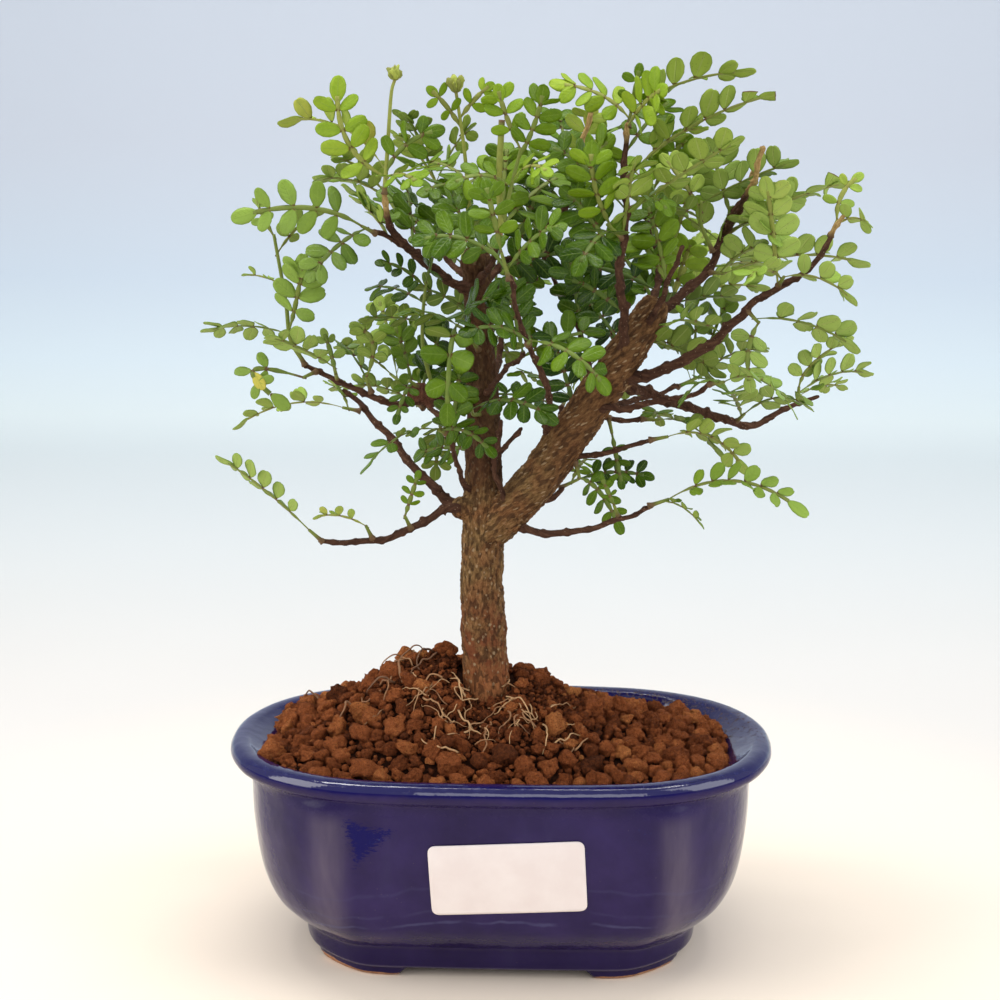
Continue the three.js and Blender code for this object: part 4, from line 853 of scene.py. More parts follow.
# Stem line, bud size, and leaves: place on the stem, tip, rise of the middle and face
SEEN_SHOOTS = [
    ([(-29, -20, 209), (-28, -20, 221), (-27, -19, 235), (-26, -19, 239)], 1.5, [
        (0.1, (-40, -22, 240), (-4, -1, -3), FRONT), (0.15, (-57, -12, 228), (2, 2, 5), RISING),
        (0.12, (-13, -25, 227), (-2, -1, 2), FRONT), (0.08, (-18, -34, 214), (0, -1, 2), RISING)]),
    ([(-31, -19, 200), (-34, -22, 202)], 0, [
        (0.95, (-66, -25, 205), (2, -2, 4), FRONT), (0.5, (-48, -31, 189), (0, -1, 2), RISING)]),
    ([(-51, -11, 164), (-55, -12, 172), (-56, -12, 182), (-59, -10, 199)], 0, [
        (0.25, (-50, -20, 195), (1, -3, 1), FRONT), (0.98, (-63, -12, 209), (-1, 0, 1), LEFT_UP),
        (0.6, (-68, -8, 188), (0, 0, 1), UP), (0.22, (-79, -10, 173), (0, 0, 2), UP),
        (0.85, (-46, -6, 205), (0, 0, 2), RISING)]),
    ([(-48, -10, 163), (-51, -14, 162)], 0, [
        (0.95, (-55, -17, 154), (-11, -2, 6), FRONT)]),
    ([(-43, -9, 160), (-43, -16, 165)], 0, [
        (0.95, (-59, -23, 175), (0, 0, 1), RISING), (0.5, (-47, -8, 174), (0, 2, 0), RISING)]),
    ([(-34, -7, 156), (-35, -9, 160)], 0, [
        (0.95, (-39, -15, 176), (4, -2, 3), FRONT), (0.5, (-44, 4, 168), (0, 0, 2), UP)]),
    ([(-20, -2, 156), (-23, -6, 159)], 0, [
        (0.95, (-39, -20, 163), (1, -3, 1), FRONT), (0.5, (-27, -17, 150), (0, 0, 2), UP)]),
    ([(-18, -3, 157), (-20, -9, 168), (-20, -12, 177), (-19, -12, 187)], 0, [
        (0.66, (-36, -18, 178), (0, 0, 1), FRONT), (0.95, (-31, -14, 193), (0, 0, 2), RISING),
        (0.82, (-36, -6, 184), (0, 0, 2), UP), (0.98, (-14, -24, 198), (0, -1, 2), RISING)]),
    ([(-6, 6, 166), (-9, -5, 173), (-11, -14, 176)], 0, [
        (0.98, (-12, -36, 153), (0, -8, 6), FRONT), (0.9, (-24, -26, 181), (0, 0, 2), RISING),
        (0.95, (1, -32, 184), (0, 0, 3), RISING)]),
    ([(-5, 5, 149), (-7, -7, 151), (-7, -16, 154)], 0, [
        (0.98, (16, -36, 154), (0, -5, 5), RISING)]),
    ([(8, -29, 173), (9, -35, 175)], 0, [
        (0.95, (29, -44, 163), (1, -6, 4), RISING), (0.5, (-8, -45, 178), (0, 0, 3), RISING)]),
    ([(4, -39, 190), (2, -43, 198)], 0, [
        (0.95, (-2, -46, 216), (0, -2, 1), FRONT), (0.5, (-20, -44, 200), (0, 0, 4), RISING),
        (0.15, (18, -50, 205), (0, 0, 3), RISING), (0.05, (-14, -32, 210), (0, 0, 2), UP)]),
    ([(-7, 6, 188), (-8, -4, 205), (-9, -10, 221), (-11, -12, 236)], 1.9, [
        (0.8, (-18, -16, 237), (0, 0, 1), FRONT), (0.85, (-1, -16, 238), (0, 0, 1), FRONT),
        (0.45, (-20, -22, 210), (0, 0, 2), RISING), (0.5, (-22, 10, 216), (0, 0, 2), UP)]),
    ([(1, -18, 201), (3, -21, 210), (6, -20, 222)], 0, [
        (0.98, (0, -20, 238), (-1, 0, 1), FRONT), (0.85, (12, -22, 238), (1, 0, 0), FRONT),
        (0.5, (-12, -34, 213), (0, 0, 3), RISING), (0.6, (14, -35, 216), (0, 0, 3), RISING)]),
    ([(33, -13, 214), (38, -14, 219)], 0, [
        (0.95, (72, -18, 236), (-2, -2, 2), FRONT), (0.5, (54, -4, 226), (0, 0, 3), RISING)]),
    ([(33, -10, 226), (34, -9, 231)], 0, [
        (0.95, (66, -3, 241), (-2, 1, 2), RISING), (0.5, (36, -14, 243), (0, -1, 0), FRONT),
        (0.15, (13, -14, 238), (2, 0, 2), RISING)]),
    ([(32, -17, 199), (28, -22, 203)], 0, [
        (0.95, (-1, -38, 218), (4, -3, -1), FRONT), (0.5, (24, -24, 224), (-2, -2, 0), FRONT),
        (0.15, (20, -40, 192), (0, -1, 4), UP)]),
    ([(33, -15, 206), (38, -18, 209)], 0, [
        (0.95, (62, -25, 225), (0, -3, 1), FRONT), (0.5, (44, -34, 205), (0, 0, 3), UP)]),
    ([(57, 6, 192), (53, 4, 201), (53, 3, 207)], 0, [
        (0.95, (78, -1, 218), (0, -1, 1), FRONT), (0.8, (42, 6, 219), (0, 0, 1), RISING),
        (0.6, (38, -4, 203), (0, 0, 3), UP)]),
    ([(60, 8, 198), (63, 5, 200)], 0, [
        (0.95, (93, 2, 212), (0, -3, 2), FRONT), (0.5, (72, -21, 198), (0, 0, 3), UP)]),
    ([(55, 5, 188), (59, 2, 188)], 0, [
        (0.95, (98, -5, 190), (0, -2, 4), RISING), (0.5, (72, -20, 196), (0, 0, 3), UP),
        (0.15, (74, 18, 186), (0, 0, 3), UP)]),
    ([(84, -17, 197), (86, -14, 201)], 0, [
        (0.95, (94, -8, 215), (-2, 0, 1), FRONT), (0.5, (99, -22, 203), (0, 0, 2), UP)]),
    ([(64, -18, 181), (67, -21, 178)], 0, [
        (0.95, (65, -29, 161), (-2, -4, 2), FRONT), (0.5, (93, -23, 171), (0, -1, 3), FRONT)]),
    ([(72, -18, 187), (73, -23, 190)], 0, [
        (0.95, (91, -31, 184), (0, 0, 3), UP), (0.5, (62, -38, 190), (0, 0, 3), UP)]),
    ([(82, 24, 149), (82, 23, 153)], 0, [
        (0.95, (96, 18, 169), (-3, 1, 0), FRONT), (0.5, (103, 16, 157), (0, -1, 3), UP),
        (0.15, (97, 34, 151), (0, 0, 2), UP)]),
    ([(64, 16, 145), (66, 12, 148)], 0, [
        (0.95, (84, -2, 152), (0, 0, 4), UP), (0.5, (60, -10, 158), (0, 0, 2), RISING)]),
    ([(54, -28, 163), (57, -31, 164)], 0, [
        (0.95, (75, -38, 159), (0, -1, 5), UP), (0.5, (46, -44, 160), (0, 0, 3), UP)]),
    ([(38, 10, 147), (42, 9, 147)], 0, [
        (0.95, (60, 2, 139), (0, -2, 4), RISING), (0.5, (44, 28, 142), (0, 0, 3), UP)]),
    ([(29, 3, 149), (30, 0, 145)], 0, [
        (0.95, (33, -3, 130), (0, 0, 0), FRONT)]),
    ([(40, -15, 146), (44, -16, 147)], 0, [
        (0.95, (66, -5, 136), (1, 0, 5), UP)]),
    ([(20, -7, 139), (21, -9, 136)], 0, [
        (0.95, (33, -3, 119), (0, 2, 3), FRONT)]),
    ([(16, 8, 128), (21, 10, 130)], 0, [
        (0.95, (42, 12, 130), (0, 0, 2), RISING), (0.5, (24, 28, 132), (0, 0, 2), UP)]),
    ([(40, -18, 129), (45, -19, 131)], 0, [
        (0.95, (80, -27, 130), (0, 0, 7), FRONT), (0.5, (54, -27, 125), (0, 0, 2), UP)]),
    ([(32, -16, 125), (31, -18, 128)], 0, [
        (0.95, (27, -22, 138), (0, 0, 0), FRONT)]),
    ([(-34, -12, 118), (-35, -14, 121)], 0, [
        (0.95, (-49, -19, 125), (0, -1, 2), RISING)]),
    ([(-47, -16, 118), (-50, -17, 121)], 0, [
        (0.95, (-74, -21, 142), (0, -2, 2), RISING)]),
    ([(-24, -8, 120), (-25, -10, 123)], 0, [
        (0.95, (-21, -14, 137), (0, 0, 0), FRONT)]),
    ([(-38, 17, 147), (-42, 16, 148)], 0, [
        (0.95, (-75, 12, 143), (0, 0, 4), UP), (0.5, (-50, 32, 150), (0, 0, 3), UP)]),
    ([(-13, -15, 147), (-15, -20, 149)], 0, [
        (0.95, (-34, -26, 141), (0, 0, 4), UP), (0.5, (0, -30, 144), (0, 0, 3), RISING)]),
]

# Branch, place on it and number of leaves
FILL_SHOOTS = [
    ("backLeft", 0.98, 5), ("backLeft", 0.6, 3), ("backMiddle", 0.98, 5), ("backMiddle", 0.6, 4),
    ("backRight", 0.98, 5), ("backHighRight", 0.62, 4), ("backHighLeft", 0.98, 5), ("backTop", 0.98, 4),
    ("backTop", 0.6, 3), ("backTopLeft", 0.98, 3), ("topBack", 0.98, 4), ("backTwig", 0.98, 4),
    ("backLow", 0.98, 4),
]

# Single leaves straight on the branches, finer than the solid model shows: place on the branch, tip, face
EXTRA_LEAVES = {
    "limb": [(0.53, (13, 5, 171), (-0.3, -0.8, 0.5)), (0.89, (60, -4, 161), (0.0, -0.6, 0.8))],
    "stubLeft": [(0.98, (-15, 14, 174), (0.8, -0.3, 0.5))],
    "topLeft": [(0.42, (-11, 7, 211), (0.1, -0.9, 0.4)), (0.56, (-26, 12, 211), (0.7, -0.7, 0.2))],
    "topLeftFork": [(0.49, (-39, 2, 209), (-0.8, -0.6, 0.2)), (0.49, (-39, -8, 209), (-0.5, -0.9, 0.0))],
    "backTopLeft": [(0.39, (-35, 23, 208), (0.0, -0.6, 0.8))],
    "topFront": [(0.98, (17, 0, 214), (-0.2, -0.8, 0.5)), (0.98, (2, -5, 223), (0.0, -0.3, 0.9))],
    "topBack": [
        (0.2, (22, 19, 191), (0.1, -0.9, 0.4)), (0.39, (11, 15, 211), (0.4, -0.9, -0.1)),
        (0.98, (-2, 16, 218), (-0.3, -0.8, -0.5)), (0.98, (30, 24, 223), (0.0, -0.9, 0.5))],
    "frontTwig": [(0.54, (4, -1, 182), (0.3, -0.7, 0.6))],
    "innerTwig": [(0.78, (28, -9, 174), (-0.3, -0.6, 0.7)), (0.98, (2, -27, 190), (0.4, -0.9, 0.3))],
    "backTwig": [(0.42, (17, 11, 196), (0.3, -0.8, 0.6))],
    "upright": [
        (0.22, (17, -11, 188), (-0.6, -0.8, 0.2)), (0.44, (16, -17, 212), (0.0, -1.0, 0.3)),
        (0.44, (20, -10, 206), (-0.4, -0.8, 0.4)), (0.54, (35, -33, 221), (-0.6, 0.6, 0.5)),
        (0.65, (11, -11, 223), (0.4, -0.7, 0.6)), (0.87, (45, -4, 234), (-0.4, -0.7, 0.6)),
        (0.98, (42, -28, 237), (-0.4, -0.9, 0.3))],
    "frontRight": [(0.59, (38, -5, 208), (-0.5, -0.8, 0.3)), (0.59, (34, -3, 199), (-0.3, -0.4, 0.9))],
    "highRight": [
        (0.44, (68, 20, 205), (-0.3, -0.5, 0.8)), (0.54, (82, 8, 209), (-0.2, -0.6, 0.8)),
        (0.54, (34, 17, 207), (-0.1, -0.8, 0.6)), (0.65, (54, 11, 223), (-0.0, -0.9, 0.3))],
    "right": [(0.41, (43, -29, 179), (0.8, -0.6, 0.3)), (0.65, (68, -18, 215), (-0.4, -0.9, -0.1))],
    "crotchTwig": [(0.73, (-9, -27, 167), (-0.0, -1.0, 0.2))],
    "backLeft": [
        (0.14, (-26, 24, 133), (-0.3, -0.8, 0.6)), (0.56, (-21, 41, 123), (0.0, 0.3, 0.9)),
        (0.7, (-4, 55, 144), (0.2, -0.9, 0.4))],
    "backMiddle": [(0.28, (-25, 15, 162), (0.5, -0.6, 0.6)), (0.98, (14, 42, 192), (0.2, -1.0, 0.1))],
    "backHighRight": [
        (0.22, (17, 16, 184), (0.7, -0.7, -0.1)), (0.22, (25, 21, 171), (-0.3, -0.9, 0.4)),
        (0.54, (59, 16, 156), (-0.4, -0.2, 0.9)), (0.76, (27, 49, 193), (-0.1, -0.8, 0.5)),
        (0.87, (75, 44, 179), (-0.3, -0.5, 0.8)), (0.98, (24, 40, 176), (0.6, -0.6, 0.5))],
    "backHighLeft": [(0.98, (3, 55, 213), (0.2, -0.3, 0.9))],
    "backTop": [(0.24, (66, 13, 180), (-0.1, -0.8, -0.5)), (0.49, (16, 26, 187), (-0.2, -0.9, 0.4))],
    "backLow": [(0.98, (-9, 33, 149), (-0.6, -0.3, 0.7))],
}


# ---- crown rule: same shoots and leaves as in the solid model ----

STEM_RADIUS = 0.85
FREE_STEM = 3.4
STEM_SEAT = 0.42
KNOT_CORE = 0.8
LEAF_HALF_WIDTH = 5.8
FULL_LEAF = 24
LEAF_CLEARANCE = 3.6
SISTER_CLEARANCE = 2.6
BARK_CLEARANCE = 1.6
CROWN_CENTRE = np.array([8.0, 2, 172])
CROWN_REACH = np.array([70.0, 62, 68])
SAMPLE_PLACES = [0.2, 0.32, 0.44, 0.56, 0.68, 0.8, 0.9, 1]
SAMPLE_SIDES = [-1, -0.35, 0.35, 1]
DEPTH_TRIES = [0, 3, -3, 6, -6, 9, -9, 12, -12, 15, -15]
FILL_TRIES = 40


def unit(vector):
    return vector / np.linalg.norm(vector)


def seeded_random(seed):
    state = [seed]

    def draw():
        state[0] = state[0] * 16807 % 2147483647
        return state[0] / 2147483647

    return draw


def point_along(line, place):
    line = np.asarray(line, float)
    lengths = np.linalg.norm(np.diff(line, axis=0), axis=1)
    rest = place * lengths.sum()
    i = 0
    while i < len(lengths) - 1 and rest > lengths[i]:
        rest -= lengths[i]
        i += 1
    return line[i] + (line[i + 1] - line[i]) * (rest / lengths[i])


def radius_along(radii, share):
    radii = np.asarray(radii, float)
    place = np.asarray(share) * (len(radii) - 1)
    low = np.minimum(np.floor(place).astype(int), len(radii) - 2)
    return radii[low] + (radii[low + 1] - radii[low]) * (place - low)


def distance_to_surface(points, line, radii):
    line = np.asarray(line, float)
    nearest = np.full(len(points), np.inf)
    for i in range(len(line) - 1):
        along = line[i + 1] - line[i]
        foot = (points - line[i]) @ along / (along @ along)
        share = np.clip(foot, 0, 1)
        beyond = np.abs(foot - share) * np.linalg.norm(along)
        radius = radius_along(radii, (i + share) / (len(line) - 1))
        away = np.linalg.norm(points - line[i] - foot[:, None] * along, axis=1) - radius
        nearest = np.minimum(nearest, np.where(beyond > 0, np.hypot(beyond, np.maximum(away, 0)), away))
    return nearest


def distance_to_bark(points):
    nearest = np.full(len(points), np.inf)
    for line, radii in BRANCHES.values():
        nearest = np.minimum(nearest, distance_to_surface(points, line, radii))
    for centre, radius in KNOTS:
        nearest = np.minimum(nearest, np.linalg.norm(points - np.array(centre), axis=1) - KNOT_CORE * radius)
    return nearest


def free_stem(line):
    line = np.asarray(line, float)
    along = unit(line[1] - line[0])
    normal = unit(np.cross(along, [0.3, 0.5, 0.8]))
    binormal = np.cross(along, normal)
    turn = 2 * np.pi * np.arange(8) / 8
    ring = STEM_RADIUS * (np.cos(turn)[:, None] * normal + np.sin(turn)[:, None] * binormal)
    steps = 60
    start = 0
    while start < steps and (distance_to_bark(point_along(line, start / steps) + ring) < STEM_SEAT).any():
        start += 1
    first = point_along(line, start / steps)
    last = line[-1]
    reach = np.linalg.norm(first - last)
    rest = [p for p in line[1:-1] if np.linalg.norm(p - last) < reach]
    last = last + unit(last - line[-2]) * max(FREE_STEM - reach, 0)
    return np.array([first, *rest, last])


def leaf_frame(leaf, place):
    """Point, direction, side and normal at places on a leaf's rib."""
    place = np.atleast_1d(place)[:, None]
    middle = (leaf["base"] + leaf["tip"]) / 2 + 2 * leaf["bow"]
    point = (1 - place) ** 2 * leaf["base"] + 2 * (1 - place) * place * middle + place ** 2 * leaf["tip"]
    along = (1 - place) * (middle - leaf["base"]) + place * (leaf["tip"] - middle)
    along /= np.linalg.norm(along, axis=1)[:, None]
    side = np.cross(along, leaf["face"])
    side /= np.linalg.norm(side, axis=1)[:, None]
    return point, along, side, np.cross(side, along)


def leaf_samples(leaf):
    point, _, side, _ = leaf_frame(leaf, SAMPLE_PLACES)
    reach = np.where(np.array(SAMPLE_PLACES) > 0.95, 0.4, 1) * leaf["half_width"]
    sides = np.array(SAMPLE_SIDES)[None, :, None]
    return (point[:, None] + side[:, None] * sides * reach[:, None, None]).reshape(-1, 3)


def nearest_pair(a, b):
    return np.linalg.norm(a[:, None] - b[None], axis=2).min()


def is_clear(samples, sisters, others):
    # Sisters meet at their stem, so their first samples don't count
    start = 2 * len(SAMPLE_SIDES)
    for leaf in sisters:
        if leaf is not None and nearest_pair(samples[start:], leaf["samples"][start:]) < SISTER_CLEARANCE:
            return False
    if (distance_to_bark(samples[len(SAMPLE_SIDES):]) < BARK_CLEARANCE).any():
        return False
    for shoot in others:
        if (distance_to_surface(samples, shoot["stem"], [STEM_RADIUS] * 2) < BARK_CLEARANCE).any():
            return False
        if nearest_pair(samples, shoot["samples"]) < LEAF_CLEARANCE:
            return False
    return True


def seen_leaf(stem, row, sisters, others):
    place, tip, bow, face = row
    base = point_along(stem, place)
    length = np.linalg.norm(base - np.array(tip))
    for shift in DEPTH_TRIES:
        leaf = dict(base=base, tip=np.array(tip, float) + [0, shift, 0], bow=np.array(bow, float),
                    face=np.array(face, float), half_width=LEAF_HALF_WIDTH * min(1, length / FULL_LEAF))
        leaf["samples"] = leaf_samples(leaf)
        if is_clear(leaf["samples"], sisters, others):
            return leaf
    return None


def fill_leaf(stem, index, count, outward, random, sisters, others):
    base = point_along(stem, 0.3 + (0.7 * (index + 1)) / count)
    axis = unit(stem[-1] - stem[0])
    across_one = unit(np.cross(axis, [0.1, 0.2, 1]))
    across_two = np.cross(axis, across_one)
    for attempt in range(FILL_TRIES):
        spin = index * 2.4 + attempt * 0.7 + random()
        spread = 0.45 + 0.8 * random() - (0.35 if index == count - 1 else 0)
        length = 19 + 9 * random()
        roll = np.array([random() - 0.5 for _ in range(3)])
        direction = axis * math.cos(spread) + across_one * math.sin(spread) * math.cos(spin)
        direction = direction + across_two * math.sin(spread) * math.sin(spin)
        leaf = dict(base=base, tip=base + direction * length, bow=np.array([0, 0, 0.12 * length]),
                    face=outward * 0.5 + [0, 0, 0.8] + roll * 0.8, half_width=LEAF_HALF_WIDTH * 0.92)
        leaf["samples"] = leaf_samples(leaf)
        inside = np.linalg.norm((leaf["tip"] - CROWN_CENTRE) / CROWN_REACH) < 1.12
        if inside and is_clear(leaf["samples"], sisters, others):
            return leaf
    return None


def shoots_of_tree():
    shoots = []

    def keep(stem, leaves, bud):
        kept = [leaf for leaf in leaves if leaf is not None]
        if kept:
            samples = np.concatenate([leaf["samples"] for leaf in kept])
            shoots.append(dict(stem=stem, bud=bud, leaves=kept, samples=samples))

    for given, bud, rows in SEEN_SHOOTS:
        stem = free_stem(given)
        grown = []
        for row in rows:
            grown.append(seen_leaf(stem, row, grown, shoots))
        keep(stem, grown, bud)
    for index, (branch, place, count) in enumerate(FILL_SHOOTS):
        random = seeded_random(101 + 7919 * index)
        line = np.array(BRANCHES[branch][0], float)
        start = point_along(line, place)
        outward = unit(start - CROWN_CENTRE)
        direction = unit(outward * 0.7 + unit(line[-1] - line[-2]) * 0.5 + [0, 0, 0.45])
        stem = free_stem([start, start + direction * (9 + 5 * random())])
        leaves = []
        for i in range(count):
            leaves.append(fill_leaf(stem, i, count, outward, random, leaves, shoots))
        keep(stem, leaves, 0)
    return shoots


# ---- wood ----

VOXEL = 0.5
NODE_PITCH = 6.5
# Trunk and limb, with the share of the solid model's radius that the bark reaches
THICK = {"trunk": 0.87, "limb": 0.93}
TWIG_SHARE = 0.64
TWIG_LEAST = 0.56
TWIG_SIDES = 12
# Collar at a twig's root: how much thicker, its reach in root radii, and only for twigs this thick
COLLAR = (0.65, 2.2)
COLLAR_LEAST = 1.25
# Twigs wave by up to this much, and their last millimetres may be dry and straw-coloured
TWIG_WAVE = 1.1
DRY_ENDS = {
    "highRight": 15, "right": 10, "upright": 6, "topLeft": 7, "topFront": 5, "cutBack": 12, "cutRight": 17,
}
# The bark's grain is stretched along a branch by this share, and starts elsewhere on each branch
RUN_SCALE = 0.42
GRAIN_START = 3.7
# Short cut twigs that the solid model leaves out
CUT_TWIGS = {
    "cutBack": ([(11, 24, 188), (18, 21, 206), (23.8, 20, 230.8)], [1.3, 1.0]),
    "cutRight": ([(60, 8, 199), (63.0, -4, 206), (65.2, -14, 213.5), (67.2, -21, 222.6)], [1.3, 1.0]),
    "forkTwig": ([(2.5, -4, 124), (0.3, -6, 131), (-1.2, -8, 140), (0.5, -9, 150)], [1.2, 0.8]),
}
ALL_BRANCHES = {**BRANCHES, **CUT_TWIGS}


def branch_lines():
    """Smooth line, radii and lengths of each branch, with collars, node swellings and slight waves."""
    found = {}
    for number, (name, (points, radii)) in enumerate(ALL_BRANCHES.items()):
        line, places = smooth_line(points, 0.8 if name in THICK else 0.5)
        radius = radius_along(radii, places / (len(points) - 1))
        lengths = np.concatenate([[0], np.cumsum(np.linalg.norm(np.diff(line, axis=0), axis=1))])
        if name in THICK:
            radius = radius * THICK[name]
        else:
            radius = np.maximum(radius * TWIG_SHARE, TWIG_LEAST)
            collar = COLLAR[0] * np.exp(-(lengths / (COLLAR[1] * radii[0])) ** 2)
            radius = radius * (1 + collar * (radii[0] > COLLAR_LEAST))
            shift = 0.37 * number % 1 * NODE_PITCH
            at_node = (lengths + shift + NODE_PITCH / 2) % NODE_PITCH - NODE_PITCH / 2
            radius = radius * (1 + 0.3 * np.exp(-(at_node / 0.7) ** 2))
            crook = [
                [noise.noise(Vector((s * 0.13, number * 7.1, k * 5.3))) for k in range(3)] for s in lengths]
            hold = np.minimum(1, np.minimum(lengths, lengths[-1] - lengths) / 6)[:, None]
            line = line + TWIG_WAVE * np.array(crook) * hold
        found[name] = (line, radius, lengths)
    return found


def grain_place(number, run):
    """Shift of the bark's grain along a branch, other for each."""
    return np.column_stack([np.full(len(run), number * GRAIN_START), 0 * run, run * RUN_SCALE])


def twigs_piece(lines):
    """Twigs as knobby tubes with one-sided bud scars and a rounded end."""
    patch = Patchwork()
    turn = np.linspace(0, 2 * np.pi, TWIG_SIDES, endpoint=False)
    for number, (name, (line, radius, lengths)) in enumerate(lines.items()):
        if name in THICK:
            continue
        draw = np.random.default_rng(300 + number)
        reach = radius[:, None] * np.ones(TWIG_SIDES)
        spot, side = draw.uniform(2, 5), draw.uniform(0, 2 * np.pi)
        while spot < lengths[-1]:
            lobe = np.maximum(np.cos(turn - side), 0) ** 3
            bump = np.exp(-((lengths - spot) / draw.uniform(0.5, 0.9)) ** 2)[:, None] * lobe
            reach = reach + draw.uniform(0.3, 0.75) * bump
            spot += draw.uniform(3.0, 7.0)
            side += np.pi + draw.normal() * 0.6
        rough = np.array([[noise.fractal(Vector((s * 0.9, math.cos(t) * 1.3 + number * 5, math.sin(t) * 1.3)),
                                         1.0, 2.0, 3) for t in turn] for s in lengths])
        reach = reach * (1 + 0.09 * rough)
        reach *= np.sqrt(np.clip((lengths[-1] + 0.25 - lengths) / 0.8, 0, 1))[:, None]
        points = tube(line, reach, TWIG_SIDES)
        run = np.repeat(lengths, TWIG_SIDES)
        dry_reach = DRY_ENDS.get(name, 0)
        dry = np.clip((run - lengths[-1] + dry_reach) / 2.5, 0, 1) if dry_reach else 0.0 * run
        place = points - np.repeat(line, TWIG_SIDES, axis=0) + grain_place(number, run)
        patch.add_rings(points, TWIG_SIDES, thick=np.repeat(radius, TWIG_SIDES), dry=dry,
                        ridge=rough.ravel() * 0.5, barkplace=place)
    return finish_piece(patch.build("bark_twigs", [BARK]), "bark", "tree_wood")


KNOT_SHARES = [0.95, 0.9, 0.66, 0.85, 0.85, 0.9]
# Length of a thick twig's root that joins trunk or limb
ROOT_LENGTH = 4.5
# Sides of the trunk's and limb's tubes, and of the twigs' roots that join them
WOOD_SIDES = 40
ROOT_SIDES = 14
# Depth of the cracks, pebbles and low lumps of the bark
BARK_RELIEF = (0.30, 0.26, 0.5)
# Thickness that the bark's finish takes for trunk and limb
WOOD_THICK = 6.0


def wood_piece(lines):
    """Trunk and limb joined with their knots, with fine cracks and low lumps."""
    patch = Patchwork()
    for name in THICK:
        line, radius, _ = lines[name]
        patch.add_rings(tube(line, radius, WOOD_SIDES), WOOD_SIDES)
    for number, (centre, size) in enumerate(KNOTS):
        points, faces = ball(3)
        rough = [1 + 0.16 * noise.noise(Vector(p * 1.7 + number * 9)) for p in points]
        patch.add(points * np.array(rough)[:, None] * size * KNOT_SHARES[number] + centre, faces)
    for name, (line, radius, lengths) in lines.items():
        if name not in THICK and ALL_BRANCHES[name][1][0] > 1.6:
            root = lengths < ROOT_LENGTH
            patch.add_rings(tube(line[root], radius[root] * 1.05, ROOT_SIDES), ROOT_SIDES)
    wood = patch.build("bark_rough", [BARK])
    remesh = wood.modifiers.new("join", "REMESH")
    remesh.mode = "VOXEL"
    remesh.voxel_size = VOXEL / 1000
    apply_modifiers(wood)
    smooth = wood.modifiers.new("smooth", "SMOOTH")
    smooth.factor = 0.5
    smooth.iterations = 5
    apply_modifiers(wood)
    mesh = wood.data
    count = len(mesh.vertices)
    points, normals = np.zeros(count * 3), np.zeros(count * 3)
    mesh.vertices.foreach_get("co", points)
    mesh.vertex_normals.foreach_get("vector", normals)
    points, normals = (points.reshape(-1, 3) - SHIFT) * 1000, normals.reshape(-1, 3)
    best = np.full(count, np.inf)
    place = np.zeros((count, 3))
    for number, name in enumerate(THICK):
        line, radius, lengths = lines[name]
        along = frames_along(line)[0]
        for block in np.array_split(np.arange(count), max(1, count // 6000)):
            away = np.linalg.norm(points[block][:, None] - line[None], axis=2)
            nearest = away.argmin(axis=1)
            gap = away[np.arange(len(block)), nearest] - radius[nearest]
            better = gap < best[block]
            chosen, which = block[better], nearest[better]
            best[chosen] = gap[better]
            offset = points[chosen] - line[which]
            forth = (offset * along[which]).sum(axis=1)
            offset = offset - along[which] * forth[:, None]
            place[chosen] = offset + grain_place(number, lengths[which] + forth)

    def field(scale, octaves, source):
        return np.array([noise.fractal(Vector(p), 1.0, 2.0, octaves) for p in source * scale])

    ridge, pebble, lumps = field(0.9, 4, place), field(1.5, 2, points), field(0.14, 2, points)
    relief = BARK_RELIEF[0] * ridge + BARK_RELIEF[1] * pebble + BARK_RELIEF[2] * lumps
    mesh.vertices.foreach_set("co", to_row(points + normals * relief[:, None]).ravel())
    thick = np.full(count, WOOD_THICK)
    for key, data in (("thick", thick), ("dry", 0 * thick), ("ridge", ridge), ("barkplace", place)):
        set_values(mesh, key, data)
    mesh.polygons.foreach_set("use_smooth", np.full(len(mesh.polygons), True))
    mesh.update()
    wood.name = "bark_wood"
    return finish_piece(wood, "bark", "tree_wood")


